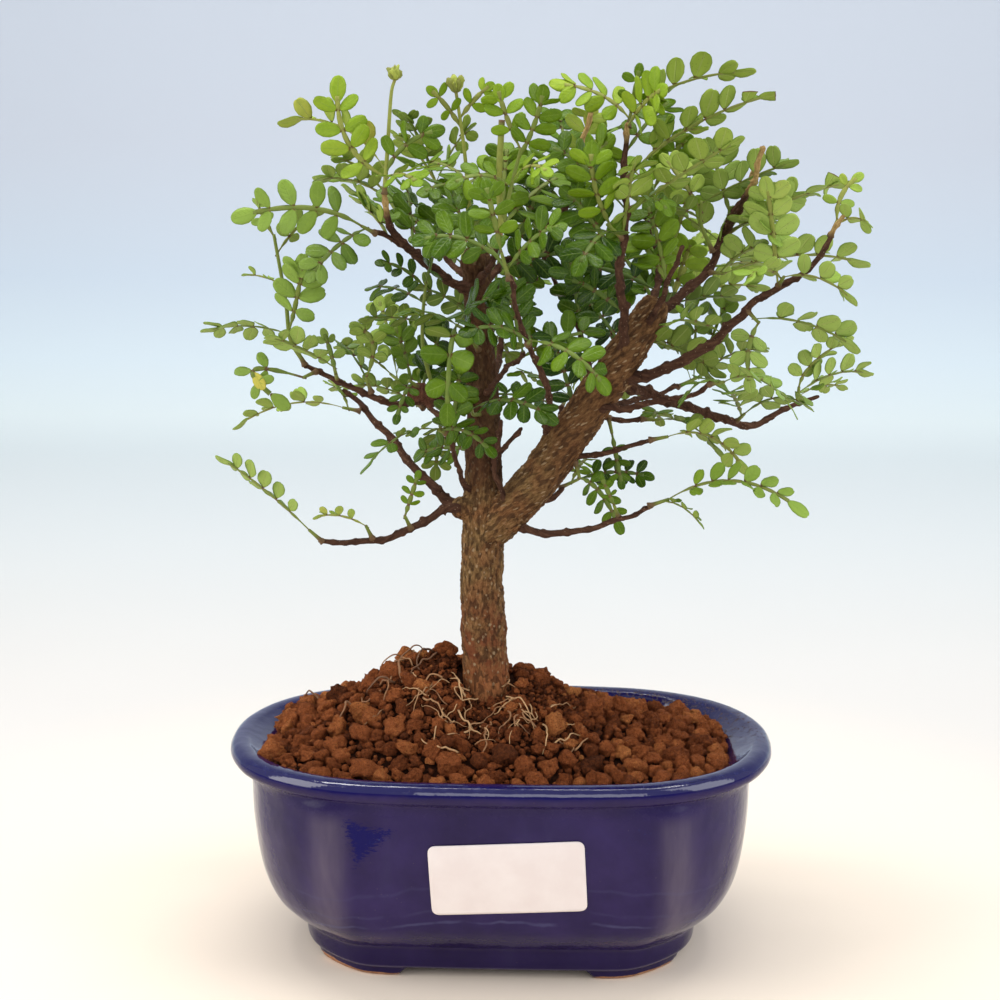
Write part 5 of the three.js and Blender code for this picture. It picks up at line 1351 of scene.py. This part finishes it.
def bark_finish():
    f = Finish("bark", roughness=0.8, Specular_IOR_Level=0.15)
    thick, dry, ridge = f.attribute("thick"), f.attribute("dry"), f.attribute("ridge")
    along = f.attribute("barkplace", "Vector")
    x, y, z = f.split()
    streak = f.noise(1.5, 6, 0.7, along)
    patches = f.noise(0.09, 3, 0.6)
    old = f.ramp(streak, (0.35, (0.090, 0.038, 0.014)), (0.5, (0.205, 0.091, 0.035)),
                 (0.66, (0.36, 0.176, 0.071)))
    grey = f.mul(f.range(patches, 0.38, 0.58), f.range(z, 82, 108, 0.1, 0.85), f.range(x, 22, 6, 0.25, 1))
    old = f.mix(grey, old, f.ramp(streak, (0.35, (0.098, 0.059, 0.022)), (0.5, (0.225, 0.131, 0.050)),
                                  (0.66, (0.37, 0.23, 0.096))))
    low = f.mul(f.range(f.noise(0.2, 4, 0.65), 0.44, 0.58), f.range(z, 108, 84))
    old = f.mix(f.mul(low, 0.75), old, (0.21, 0.057, 0.023))
    foot = f.mul(f.range(z, 84, 74), f.range(streak, 0.35, 0.6, 0.3, 0.9))
    old = f.mix(foot, old, (0.40, 0.145, 0.052))
    # The limb is a little darker than the trunk
    slanting = f.mul(f.range(x, 4, 16, 0, 0.35), f.range(z, 118, 126))
    old = f.mix(slanting, old, (0.065, 0.033, 0.014))
    crack = f.range(ridge, -0.02, -0.32)
    old = f.mix(f.mul(crack, 0.6), old, (0.036, 0.016, 0.008))
    dash = f.cells(0.6, f.stretch((1, 1, 2.0), along))
    dash = f.add(dash, f.sway(f.noise(2.4, 3, 0.6, along), 0.5))
    dash = f.mul(f.range(dash, 0.29, 0.15), f.range(f.noise(0.5, 2, 0.5, along), 0.38, 0.48))
    old = f.mix(f.mul(dash, 0.8), old, (0.44, 0.30, 0.165))
    # The trunk above the fork is redder, and darker with painted shade from the crown over it
    above = f.mul(f.range(z, 124, 136), f.range(f.sub(x, f.mul(z, 0.25)), -26, -32))
    old = f.mix(f.mul(above, 0.75), old, (0.050, 0.020, 0.010))
    healed = f.mul(f.range(x, -15, -18), f.range(z, 147, 150))
    callus = f.ramp(streak, (0.35, (0.085, 0.030, 0.020)), (0.65, (0.25, 0.10, 0.062)))
    old = f.mix(f.mul(healed, 0.8), old, callus)
    young = f.ramp(f.noise(0.9, 5, 0.65, along), (0.3, (0.036, 0.015, 0.009)), (0.52, (0.086, 0.038, 0.022)),
                   (0.78, (0.175, 0.088, 0.050)))
    speck = f.range(f.cells(0.85), 0.18, 0.1)
    young = f.mix(f.mul(speck, 0.55), young, (0.32, 0.21, 0.14))
    color = f.mix(f.range(thick, 1.9, 4.0), young, old)
    straw = f.ramp(f.noise(1.6, 4, 0.6, along), (0.3, (0.30, 0.17, 0.058)), (0.7, (0.60, 0.41, 0.165)))
    color = f.mix(dry, color, straw)
    fine = f.bump(f.noise(2.6, 6, 0.75, along), 1.0, 0.6)
    return f.set(Base_Color=color, Normal=f.bump(f.sub(dash, crack), 0.7, 0.3, fine))


# ---- leaves ----

# Places along a leaflet, and its half width there
LEAFLET_ROWS = np.array([0, 0.07, 0.17, 0.29, 0.42, 0.55, 0.68, 0.79, 0.88, 0.95, 1])
LEAFLET_HALVES = [0.10, 0.30, 0.57, 0.80, 0.95, 1.0, 0.96, 0.85, 0.68, 0.47, 0.20]
LEAFLET_COLUMNS = np.array([-1, -0.55, 0, 0.55, 1])
LEAFLET_THICKNESS = 0.2
STEM_SLOT = 2
STEM_SIDES = 10
STEM_STEP = 0.7
# Leaves in the photo with an end cut straight, by their tips' x and z
CLIPPED_TIPS = [(72, 236), (93, 212)]
CURLED_LEAF = (-55, 154)
# Leaves in the photo with both rows of leaflets in view, by their tips' x and z
FLAT_TIPS = [(-66, 205), (-40, 240), (-63, 209), (-48, 189), (-50, 195), (94, 215), (-55, 154)]
# Leaves that the photo shows from the edge
EDGE_TIPS = [(-79, 173), (-75, 143), (-68, 188), (-34, 141), (-24, 181)]
SIDE_TIP = (80, 130)
BROAD_TIP = (-12, 153)
SHORT_TIP = (99, 203)


def leaflet_grid(base, out, side, normal, length, width, draw, fold, curl, clip):
    """Top surface points of one leaflet: it starts at base and runs along out."""
    u = LEAFLET_ROWS[:, None] * clip
    v = LEAFLET_COLUMNS[None, :]
    half = np.interp(u[:, 0], LEAFLET_ROWS, LEAFLET_HALVES)[:, None]
    notch = 1 + 0.018 * np.where(np.arange(len(LEAFLET_ROWS)) % 2 == 0, 1, -1)[:, None] * np.abs(v) ** 3
    across = v * half * notch * width / 2
    # Some tips have a shallow dip in the middle
    dip = max(draw.uniform(-0.04, 0.04), 0)
    reach = length * (u - 0.025 * (u > 0.97 * clip) * np.abs(v) - dip * (u > 0.9) * (1 - np.abs(v)))
    lift = fold * np.abs(across) - curl * length * u ** 2 - 0.10 * np.abs(across) ** 2 * (fold > 0)
    wave = 0.09 * width * np.sin(u * 6 + draw.uniform(0, 6)) * v ** 2 * draw.uniform(0.3, 1)
    grid = base + reach[..., None] * out + across[..., None] * side + (lift + wave)[..., None] * normal
    kind = draw.uniform(0.0, 0.9) if clip == 1 else 1.5
    place = np.stack(np.broadcast_arrays(u / clip, v, np.full_like(u * v, kind)), axis=2)
    return grid.reshape(-1, 3), place.reshape(-1, 3)


def sheet_faces(rows, columns):
    """Closed thin sheet: top and bottom grids and the faces round the edge, with their sides."""
    size = rows * columns
    top = grid_faces(rows, columns, closed=False)
    bottom = [tuple(i + size for i in f[::-1]) for f in top]
    loop = list(range(columns))
    loop += [r * columns + columns - 1 for r in range(1, rows)]
    loop += [(rows - 1) * columns + c for c in range(columns - 2, -1, -1)]
    loop += [r * columns for r in range(rows - 2, 0, -1)]
    edge = [(b, a, a + size, b + size) for a, b in zip(loop, loop[1:] + loop[:1])]
    return top + bottom + edge, [0] * len(top) + [1] * len(bottom) + [0] * len(edge)


SHEET_FACES, SHEET_SLOTS = sheet_faces(len(LEAFLET_ROWS), len(LEAFLET_COLUMNS))


def thicken(grid, rows, columns, thickness):
    grid = grid.reshape(rows, columns, 3)
    normal = np.cross(*np.gradient(grid, axis=(0, 1)))
    normal /= np.maximum(np.linalg.norm(normal, axis=2), 1e-9)[..., None]
    half = thickness / 2
    return np.vstack([(grid + half * normal).reshape(-1, 3), (grid - half * normal).reshape(-1, 3)])


def add_leaflet(patch, base, out, side, normal, length, width, draw, tone, fold, curl, clip=1.0):
    grid, place = leaflet_grid(base, out, side, normal, length, width, draw, fold, curl, clip)
    points = thicken(grid, len(LEAFLET_ROWS), len(LEAFLET_COLUMNS), LEAFLET_THICKNESS)
    patch.add(points, SHEET_FACES, SHEET_SLOTS, place=np.vstack([place, place]),
              tone=float(tone + draw.normal() * 0.06), joint=0.0)


def add_stem(patch, line, radii, sides, tone, joint, flat=1.0, across=None):
    points = tube(line, radii, sides, flat, across)
    patch.add_rings(points, sides, STEM_SLOT, place=np.zeros_like(points), tone=tone,
                    joint=np.repeat(joint, sides))


def rotate_about(vector, axis, angle):
    return (vector * math.cos(angle) + np.cross(axis, vector) * math.sin(angle)
            + axis * axis.dot(vector) * (1 - math.cos(angle)))


PETIOLE = 0.14
LAST_NOTCH = 0.83
# Distance of the leaflet pairs: share of the leaf's length, and its limits
PAIR_PITCH = 0.165
PITCH_LIMITS = (4.1, 5.9)
PAIR_LIMITS = (2, 8)
# Leaves low in the crown have smaller leaflets: heights of the leaves' middles, and shares
SMALL_HEIGHTS, SMALL_SHARES = [128, 152, 178], [0.76, 0.88, 1.0]
LEAFLET_REACH = 1.35
LEAFLET_BREADTH = 0.58
OUTER_BREADTH = 0.70


def near_tip(leaf, spots):
    return any(abs(leaf["tip"][0] - x) < 1 and abs(leaf["tip"][2] - z) < 1 for x, z in spots)


def turned(leaf):
    """Leaf as seen in the photo, how far its rows fold up, and its leaflets' breadth.

    The outer leaves show their undersides.
    """
    along = unit(leaf["tip"] - leaf["base"])
    middle = (leaf["tip"] + leaf["base"]) / 2
    if near_tip(leaf, EDGE_TIPS):
        return dict(leaf, face=np.array([0.0, 0.36, 1.0])), 0.12, LEAFLET_BREADTH
    if near_tip(leaf, [SIDE_TIP]):
        return dict(leaf, face=np.array([0.0, -0.5, 0.85])), 0.5, OUTER_BREADTH
    if near_tip(leaf, [SHORT_TIP]):
        leaf = dict(leaf, tip=leaf["base"] + (leaf["tip"] - leaf["base"]) * 0.7)
    if near_tip(leaf, [BROAD_TIP]):
        return leaf, 0.1, 0.76
    if abs(middle[0] - CROWN_CENTRE[0]) < 36 or near_tip(leaf, FLAT_TIPS):
        return leaf, 0.06, LEAFLET_BREADTH
    if abs(along[2]) > 0.75:
        return dict(leaf, face=-leaf["face"]), 0.15, OUTER_BREADTH
    return dict(leaf, face=np.array([0.0, 0.55, 0.85])), 0.42, OUTER_BREADTH


def add_leaf(patch, leaf, draw, tone):
    leaf, rise, breadth = turned(leaf)
    length = np.linalg.norm(leaf["tip"] - leaf["base"])
    curled = near_tip(leaf, [CURLED_LEAF])
    if curled:
        length = 1.5 * length
    small = float(np.interp((leaf["tip"][2] + leaf["base"][2]) / 2, SMALL_HEIGHTS, SMALL_SHARES))
    pitch = float(np.clip(PAIR_PITCH * length, *PITCH_LIMITS)) * small
    broad_one = near_tip(leaf, [BROAD_TIP])
    pairs = 3 if broad_one else int(np.clip(round(length * (LAST_NOTCH - PETIOLE) / pitch), *PAIR_LIMITS))
    places = np.linspace(0, LAST_NOTCH + 0.03, 5 * pairs + 6)
    point, along, side, normal = leaf_frame(leaf, places)
    notch = PETIOLE + (np.arange(pairs) + 0.5) * (LAST_NOTCH - PETIOLE) / pairs
    to_node = np.abs(places[:, None] - notch[None]).min(axis=1) * length
    blade = smoothstep(PETIOLE * 0.6, PETIOLE * 1.2, places)
    width = 0.30 + 0.38 * blade - 0.30 * np.exp(-(to_node / 0.6) ** 2) * blade
    joint = np.exp(-(to_node / 0.45) ** 2) * blade + np.exp(-(places * length / 0.8) ** 2)
    # The rib starts a little inside the stem
    line = np.vstack([leaf["base"] - along[0] * 0.9, point])
    across = tuple(np.vstack([rows[:1], rows]) for rows in (side, normal))
    add_stem(patch, line, [0.3, *width], 6, tone, [0.6, *joint], 0.36, across)
    rise = rise + draw.uniform(-0.16, 0.16)
    clipped = near_tip(leaf, CLIPPED_TIPS)
    reach_most = 5.6 if curled else 7.8 if broad_one else leaf["half_width"] * LEAFLET_REACH * small
    for i, place in enumerate(notch):
        p, a, s, n = (v[0] for v in leaf_frame(leaf, place))
        swell = 0.82 + 0.18 * math.sin(math.pi * (i + 0.7) / pairs)
        for sign in (-1, 1):
            forward = draw.normal(0.34 + 0.3 * i / pairs, 0.13)
            out = unit(s * sign * math.cos(forward) + a * math.sin(forward))
            tilt = draw.normal(rise, 0.22)
            out = rotate_about(out, a, -sign * tilt)
            up = rotate_about(n, a, -sign * tilt)
            roll = draw.normal(0, 0.3)
            up = rotate_about(up, out, roll)
            across = np.cross(up, out)
            reach = reach_most * swell * draw.uniform(0.9, 1.04) - 0.3
            broad = min(breadth * reach * draw.uniform(0.92, 1.08),
                        1.12 * (LAST_NOTCH - PETIOLE) * length / pairs)
            yellow = 0.9 if curled and i == 1 and sign < 0 else 0.0
            clip = draw.uniform(0.58, 0.72) if clipped and i == pairs - 1 else 1.0
            add_leaflet(patch, p + out * 0.3, out, across, up, reach, broad, draw, tone + yellow,
                        draw.uniform(0.02, 0.25), draw.uniform(-0.03, 0.2), clip)
    p, a, s, n = (v[0] for v in leaf_frame(leaf, LAST_NOTCH + 0.01))
    end = leaf["tip"] - p
    reach = max(min(np.linalg.norm(end), 1.1 * reach_most), 0.88 * reach_most)
    add_leaflet(patch, leaf["tip"] - unit(end) * reach, unit(end), np.cross(n, unit(end)), n, reach * 1.02,
                min(reach * 0.62, reach_most * 0.66), draw, tone, draw.uniform(0.05, 0.2),
                draw.uniform(0, 0.1), 0.7 if clipped else 1.0)


def add_bud(patch, centre, size, draw):
    """Tuft of small folded leaves at a shoot's tip."""
    points, faces = ball(2)
    for i in range(16):
        spread = 0.25 + 0.055 * i
        up = 1.0 + 0.2 * draw.uniform()
        lean = unit(np.array([math.cos(i * 2.4) * spread, math.sin(i * 2.4) * spread, up]))
        one = unit(np.cross(lean, [0.2, 0.3, 1.0]))
        one = rotate_about(one, lean, draw.uniform(0, math.pi))
        two = np.cross(lean, one)
        scale = size * draw.uniform(0.5, 1.0)
        ruffle = 1 + 0.3 * np.sin(points[:, 2] * 5 + i) * points[:, 0]
        shape = points * [0.5, 0.2, 1.0] * scale * ruffle[:, None]
        shape = shape[:, :1] * one + shape[:, 1:2] * two + shape[:, 2:] * lean
        tip = smoothstep(0.75, 1.0, points[:, 2])
        foot = smoothstep(-0.3, -1.0, points[:, 2])
        patch.add(shape + centre + lean * scale * 0.8, faces, STEM_SLOT, place=np.zeros_like(points),
                  tone=draw.uniform(0.7, 1.4), joint=np.maximum(tip * draw.uniform(0, 1), foot * 0.8))


def leaf_tone(leaf, draw):
    """From dark green low and inside to yellow-green high and outside: partly the leaves' own colour, partly
    painted light high and outside and painted shade inside the crown.
    """
    middle = (leaf["base"] + leaf["tip"]) / 2
    outness = np.linalg.norm((middle - CROWN_CENTRE) / CROWN_REACH)
    high = (middle[2] - 120) / 110
    # Painted light on the low leaves, which the crown shades
    low_painted_light = 0.15 * smoothstep(154, 134, middle[2])
    tone = 0.18 + 0.37 * high + low_painted_light + 0.6 * (outness - 0.62)
    return float(np.clip(tone + draw.normal() * 0.14, 0.02, 0.98))


def shoot_piece(number, shoot):
    draw = np.random.default_rng(500 + number)
    patch = Patchwork()
    stem = shoot["stem"]
    back = unit(stem[1] - stem[0])
    line, _ = smooth_line(np.vstack([stem[0] - back * 1.8, stem]), STEM_STEP)
    share = np.linspace(0, 1, len(line))
    run = share * len(line) * STEM_STEP
    radii = 0.62 - 0.2 * share + 0.4 * np.exp(-(run / 1.3) ** 2)
    near_base = np.exp(-(run / 3.4) ** 2)
    end_red = 0.5 * smoothstep(0.85, 1.0, share) if shoot["bud"] else 0.25 * share ** 2
    tone = 0.95 if shoot["bud"] else 0.6
    add_stem(patch, line, radii, STEM_SIDES, tone, np.clip(near_base + end_red, 0, 1))
    for leaf in shoot["leaves"]:
        add_leaf(patch, leaf, draw, leaf_tone(leaf, draw))
    if shoot["bud"]:
        add_bud(patch, stem[-1], shoot["bud"] * 1.5, draw)
    name = f"leafy_shoot_{number + 1:02d}"
    piece = patch.build(f"leaves_{number + 1:02d}", [LEAF_TOP, LEAF_BACK, STEM])
    return finish_piece(piece, "leaf", name)


# A cut green stem at the top, in front
CUT_STEM = [(1, -19, 202), (0.4, -19, 214), (1.1, -19, 229)]


def inner_leaves_piece():
    draw = np.random.default_rng(700)
    patch = Patchwork()
    for branch, rows in EXTRA_LEAVES.items():
        line, radii = BRANCHES[branch]
        for place, tip, face in rows:
            base = point_along(line, place)
            length = np.linalg.norm(base - np.array(tip))
            leaf = dict(base=base, tip=np.array(tip, float), bow=np.array([0, 0, 0.08 * length]),
                        face=np.array(face, float), half_width=LEAF_HALF_WIDTH * min(1, length / 22))
            add_leaf(patch, leaf, draw, leaf_tone(leaf, draw))
    line, _ = smooth_line(CUT_STEM, 1.0)
    joint = smoothstep(0.93, 1.0, np.linspace(0, 1, len(line)))
    add_stem(patch, line, np.full(len(line), STEM_RADIUS), STEM_SIDES, 0.9, joint)
    return finish_piece(patch.build("inner_leaves", [LEAF_TOP, LEAF_BACK, STEM]), "leaf")


def leaf_parts(f):
    """Place along and across a leaflet, and how much it is a brown cut edge or its brown foot."""
    u, v, kind = f.split(f.attribute("place", "Vector"))
    cut = f.mul(f.range(kind, 1.1, 1.3), f.range(u, 0.90, 0.97))
    foot = f.range(u, 0.10, 0.03)
    return u, f.size(v), f.math("MAXIMUM", cut, foot)


def underside_and_sheen_share(f, most):
    """Share of the paler colour on the crown's left and right: partly the pale undersides these leaves show,
    partly painted sheen.
    """
    x, _, z = f.split()
    away = f.size(f.sub(x, 8))
    return f.mul(f.range(away, 30, 66, 0, most), f.range(z, 232, 205, 0.15, 1))


def leaf_top_finish():
    f = Finish("leaf_top", roughness=0.38, Specular_IOR_Level=0.2)
    u, side, brown = leaf_parts(f)
    tone = f.attribute("tone")
    mottle = f.noise(0.55, 4, 0.6)
    value = f.add(tone, f.sway(mottle, 0.3))
    color = f.ramp(
        f.mul(value, 0.6), (0.03, (0.012, 0.038, 0.001)), (0.18, (0.045, 0.098, 0.001)),
        (0.33, (0.100, 0.182, 0.002)), (0.48, (0.185, 0.300, 0.008)), (0.62, (0.30, 0.41, 0.024)),
        (0.85, (0.75, 0.50, 0.06)),
    )
    midrib = f.range(side, 0.10, 0.03)
    veins = f.math("SINE", f.sub(f.mul(u, 34), f.mul(side, 9)))
    # Paler on the crown's left and right: partly underside colour, partly painted sheen
    color = f.mix(underside_and_sheen_share(f, 0.5), color, (0.335, 0.475, 0.10))
    color = f.mix(f.mul(midrib, 0.3), color, (0.22, 0.32, 0.05))
    color = f.mix(f.mul(f.range(veins, 0.6, 1.0), 0.1), color, (0.20, 0.30, 0.04))
    rim = f.range(side, 0.84, 1.0)
    color = f.mix(f.mul(rim, 0.25), color, (0.025, 0.055, 0.006))
    dots = f.range(f.cells(1.7), 0.16, 0.09)
    color = f.mix(f.mul(dots, 0.25), color, (0.30, 0.38, 0.07))
    color = f.mix(f.mul(brown, 0.85), color, (0.12, 0.045, 0.022))
    rough = f.range(tone, 0.2, 0.9, 0.26, 0.50)
    height = f.sub(f.mul(f.range(veins, 0.2, 1.0), 0.5), midrib)
    soft = f.bump(f.noise(1.6, 3), 0.25, 0.4)
    return f.set(Base_Color=color, Roughness=rough, Normal=f.bump(height, 0.35, 0.25, soft))


def leaf_back_finish():
    f = Finish("leaf_back", roughness=0.62, Specular_IOR_Level=0.15)
    u, side, brown = leaf_parts(f)
    value = f.add(f.attribute("tone"), f.sway(f.noise(0.6, 4), 0.2))
    color = f.ramp(f.mul(value, 0.6), (0.03, (0.080, 0.128, 0.020)), (0.3, (0.172, 0.245, 0.036)),
                   (0.57, (0.30, 0.39, 0.055)), (0.85, (0.75, 0.52, 0.10)))
    # Paler on the crown's left and right: partly underside colour, partly painted sheen
    color = f.mix(underside_and_sheen_share(f, 0.5), color, (0.365, 0.50, 0.125))
    midrib = f.range(side, 0.12, 0.03)
    color = f.mix(f.mul(midrib, 0.45), color, (0.36, 0.42, 0.12))
    dots = f.range(f.cells(1.3), 0.17, 0.09)
    color = f.mix(f.mul(dots, 0.6), color, (0.05, 0.07, 0.02))
    color = f.mix(f.mul(f.range(side, 0.86, 1.0), 0.35), color, (0.05, 0.09, 0.02))
    color = f.mix(f.mul(brown, 0.85), color, (0.12, 0.045, 0.022))
    return f.set(Base_Color=color, Normal=f.bump(midrib, 0.5, 0.3, f.bump(f.noise(1.6, 3), 0.2, 0.4)))


def stem_finish():
    f = Finish("green_stem", roughness=0.5, Specular_IOR_Level=0.25)
    tone, joint = f.attribute("tone"), f.attribute("joint")
    color = f.ramp(f.add(f.mul(tone, 0.7), f.mul(f.noise(0.7, 3), 0.3)),
                   (0.15, (0.060, 0.105, 0.014)), (0.5, (0.135, 0.190, 0.028)), (0.72, (0.23, 0.245, 0.050)),
                   (1.0, (0.37, 0.42, 0.07)))
    color = f.mix(f.mul(f.range(joint, 0.2, 0.9), 0.9), color,
                  f.ramp(f.noise(1.2, 3), (0.3, (0.075, 0.030, 0.018)), (0.7, (0.17, 0.08, 0.045))))
    return f.set(Base_Color=color, Normal=f.bump(f.noise(2.5, 3), 0.25, 0.2))


# ---- sticker ----

STICKER_SIZE = (41, 20.2)
STICKER_CORNER = 1.9
STICKER_GRID = (63, 31)
STICKER_TILT = math.radians(2.9)
STICKER_PLACE = (3.7, 34.2)
PAPER_THICKNESS = 0.3


# The pot's outside up to its straight wall
OUTER_WALL = smooth_profile(POT_PROFILE[:POT_PROFILE.index((0, 49, 0)) + 1])


def wall_front(x, z):
    """y of the front wall's outside."""
    ring = plan_ring(0, 0, float(np.interp(z, OUTER_WALL[:, 1], OUTER_WALL[:, 2])))
    front = ring[ring[:, 1] < 0]
    order = np.argsort(front[:, 0])
    return float(np.interp(x, front[order, 0], front[order, 1]))


def sticker_piece():
    """Blank paper label that lies on the wall, with rounded corners and a slightly lifted edge."""
    columns, rows = STICKER_GRID
    half = np.array(STICKER_SIZE) / 2
    grid = []
    for j in range(rows):
        for i in range(columns):
            a, b = (i / (columns - 1) * 2 - 1) * half[0], (j / (rows - 1) * 2 - 1) * half[1]
            inner = half - STICKER_CORNER
            over = np.maximum(np.abs([a, b]) - inner, 0)
            if over.min() > 0 and np.linalg.norm(over) > STICKER_CORNER:
                over = over * STICKER_CORNER / np.linalg.norm(over)
                a, b = np.sign([a, b]) * (inner + over)
            x = STICKER_PLACE[0] + a * math.cos(STICKER_TILT) - b * math.sin(STICKER_TILT)
            z = STICKER_PLACE[1] + a * math.sin(STICKER_TILT) + b * math.cos(STICKER_TILT)
            lift = 0.22 * smoothstep(0.86, 1.0, max(abs(a) / half[0], abs(b) / half[1]))
            lift += 0.05 * noise.noise(Vector((x * 0.2, z * 0.2, 3)))
            grid.append([x, wall_front(x, z) - 0.32 - lift * 0.5, z])
    points = thicken(np.array(grid), rows, columns, PAPER_THICKNESS)
    faces, _ = sheet_faces(rows, columns)
    patch = Patchwork()
    patch.add(points, faces)
    return finish_piece(patch.build("blank_label", [PAPER]), "label_paper", "sticker")


def paper_finish():
    f = Finish("label_paper", roughness=0.55)
    color = f.ramp(f.noise(0.12, 3), (0.35, (0.755, 0.675, 0.660)), (0.65, (0.80, 0.73, 0.715)))
    fiber = f.noise(1.4, 4, 0.7, f.stretch((1.0, 1.0, 3.0)))
    color = f.mix(f.range(fiber, 0.55, 0.8, 0, 0.18), color, (0.70, 0.62, 0.60))
    return f.set(Base_Color=color, Normal=f.bump(f.noise(3.0, 4), 0.12, 0.15))


# ---- stage ----

# The floor bends up into the backdrop from this distance, with this radius
BEND_START = 700
BEND = 260


def stage():
    turns = np.linspace(0, math.pi / 2, 13)
    bend = [(BEND_START + BEND * math.sin(t), BEND * (1 - math.cos(t))) for t in turns]
    rows = [(-1500, 0), (300, 0), *bend, (BEND_START + BEND, 1800)]
    points = [[x, y, z - 0.05] for y, z in rows for x in np.linspace(-2200, 2200, 12)]
    patch = Patchwork()
    patch.add(points, [f[::-1] for f in grid_faces(len(rows), 12, closed=False)])
    floor = patch.build("studio_floor", [FLOOR])

    world = bpy.data.worlds.new("studio")
    world.use_nodes = True
    background = world.node_tree.nodes["Background"]
    background.inputs["Color"].default_value = (0.93, 0.96, 1.0, 1)
    background.inputs["Strength"].default_value = 0.5
    bpy.context.scene.world = world
    for name, place, aim, size, power, color in LIGHTS:
        data = bpy.data.lights.new(name, "AREA")
        data.shape = "RECTANGLE"
        data.size, data.size_y = size[0] / 1000, size[1] / 1000
        data.energy = power
        data.color = color
        light = bpy.data.objects.new(name, data)
        light.location = Vector(to_row(place))
        direction = Vector(np.array(aim, float) - np.array(place, float))
        light.rotation_mode = "QUATERNION"
        light.rotation_quaternion = direction.to_track_quat("-Z", "Y")
        bpy.context.scene.collection.objects.link(light)


LIGHTS = [
    ("light_left", (-620, -260, 420), (0, 0, 120), (420, 700), 3.2, (1.0, 0.98, 0.95)),
    ("light_right", (620, -200, 400), (0, 0, 120), (420, 700), 2.4, (0.96, 0.98, 1.0)),
    ("light_top", (0, 60, 820), (0, 0, 120), (760, 150), 4.4, (1.0, 0.99, 0.97)),
    ("light_front", (120, -900, 520), (0, 0, 110), (600, 420), 1.8, (1.0, 1.0, 1.0)),
]


def floor_finish():
    f = Finish("studio_floor", roughness=0.75)
    x, y, z = f.split()
    warm = f.ramp(f.noise(0.004, 2), (0.3, (0.73, 0.70, 0.665)), (0.7, (0.76, 0.73, 0.695)))
    far = f.add(y, z)
    # Backdrop colour, lightest where the floor bends up: painted light that evens out the shade of the bend
    backdrop_with_painted_light = f.ramp(f.range(far, 500, 1300), (0.0, (0.84, 0.885, 0.885)), (0.28, (0.905, 0.995, 1.0)),
                 (0.44, (0.82, 0.93, 0.99)), (0.64, (0.705, 0.80, 0.90)), (0.87, (0.68, 0.725, 0.81)))
    color = f.mix(f.range(far, 150, 600), warm, backdrop_with_painted_light)
    # Cream round the pot and lighter there: partly the floor's colour, partly painted light that lifts the
    # pot's cast shadow
    near = f.math("SQRT", f.add(f.mul(x, x), f.mul(y, y)))
    color = f.mix(f.range(near, 270, 90), color, (0.97, 0.84, 0.70))
    return f.set(Base_Color=color)


# ---- make everything ----

GLAZE = glaze_finish("cobalt_glaze", 0.16)
RIM_GLAZE = glaze_finish("cobalt_rim_glaze", 0.75)
PLASTIC = plastic_finish()
GRANULES = granule_finish()
FINE_SOIL = fine_soil_finish()
ROOTLET = rootlet_finish()
BARK = bark_finish()
LEAF_TOP = leaf_top_finish()
LEAF_BACK = leaf_back_finish()
STEM = stem_finish()
PAPER = paper_finish()
FLOOR = floor_finish()

pot_piece()
drain_piece("drain_cover_left", "drain_mesh_left", -1)
drain_piece("drain_cover_right", "drain_mesh_right", 1)
soil_bed_piece()
crumb_pieces()
for roots in ROOTLETS:
    rootlets_piece(*roots)
branches = branch_lines()
wood_piece(branches)
twigs_piece(branches)
for shoot_number, one_shoot in enumerate(shoots_of_tree()):
    shoot_piece(shoot_number, one_shoot)
inner_leaves_piece()
sticker_piece()
stage()
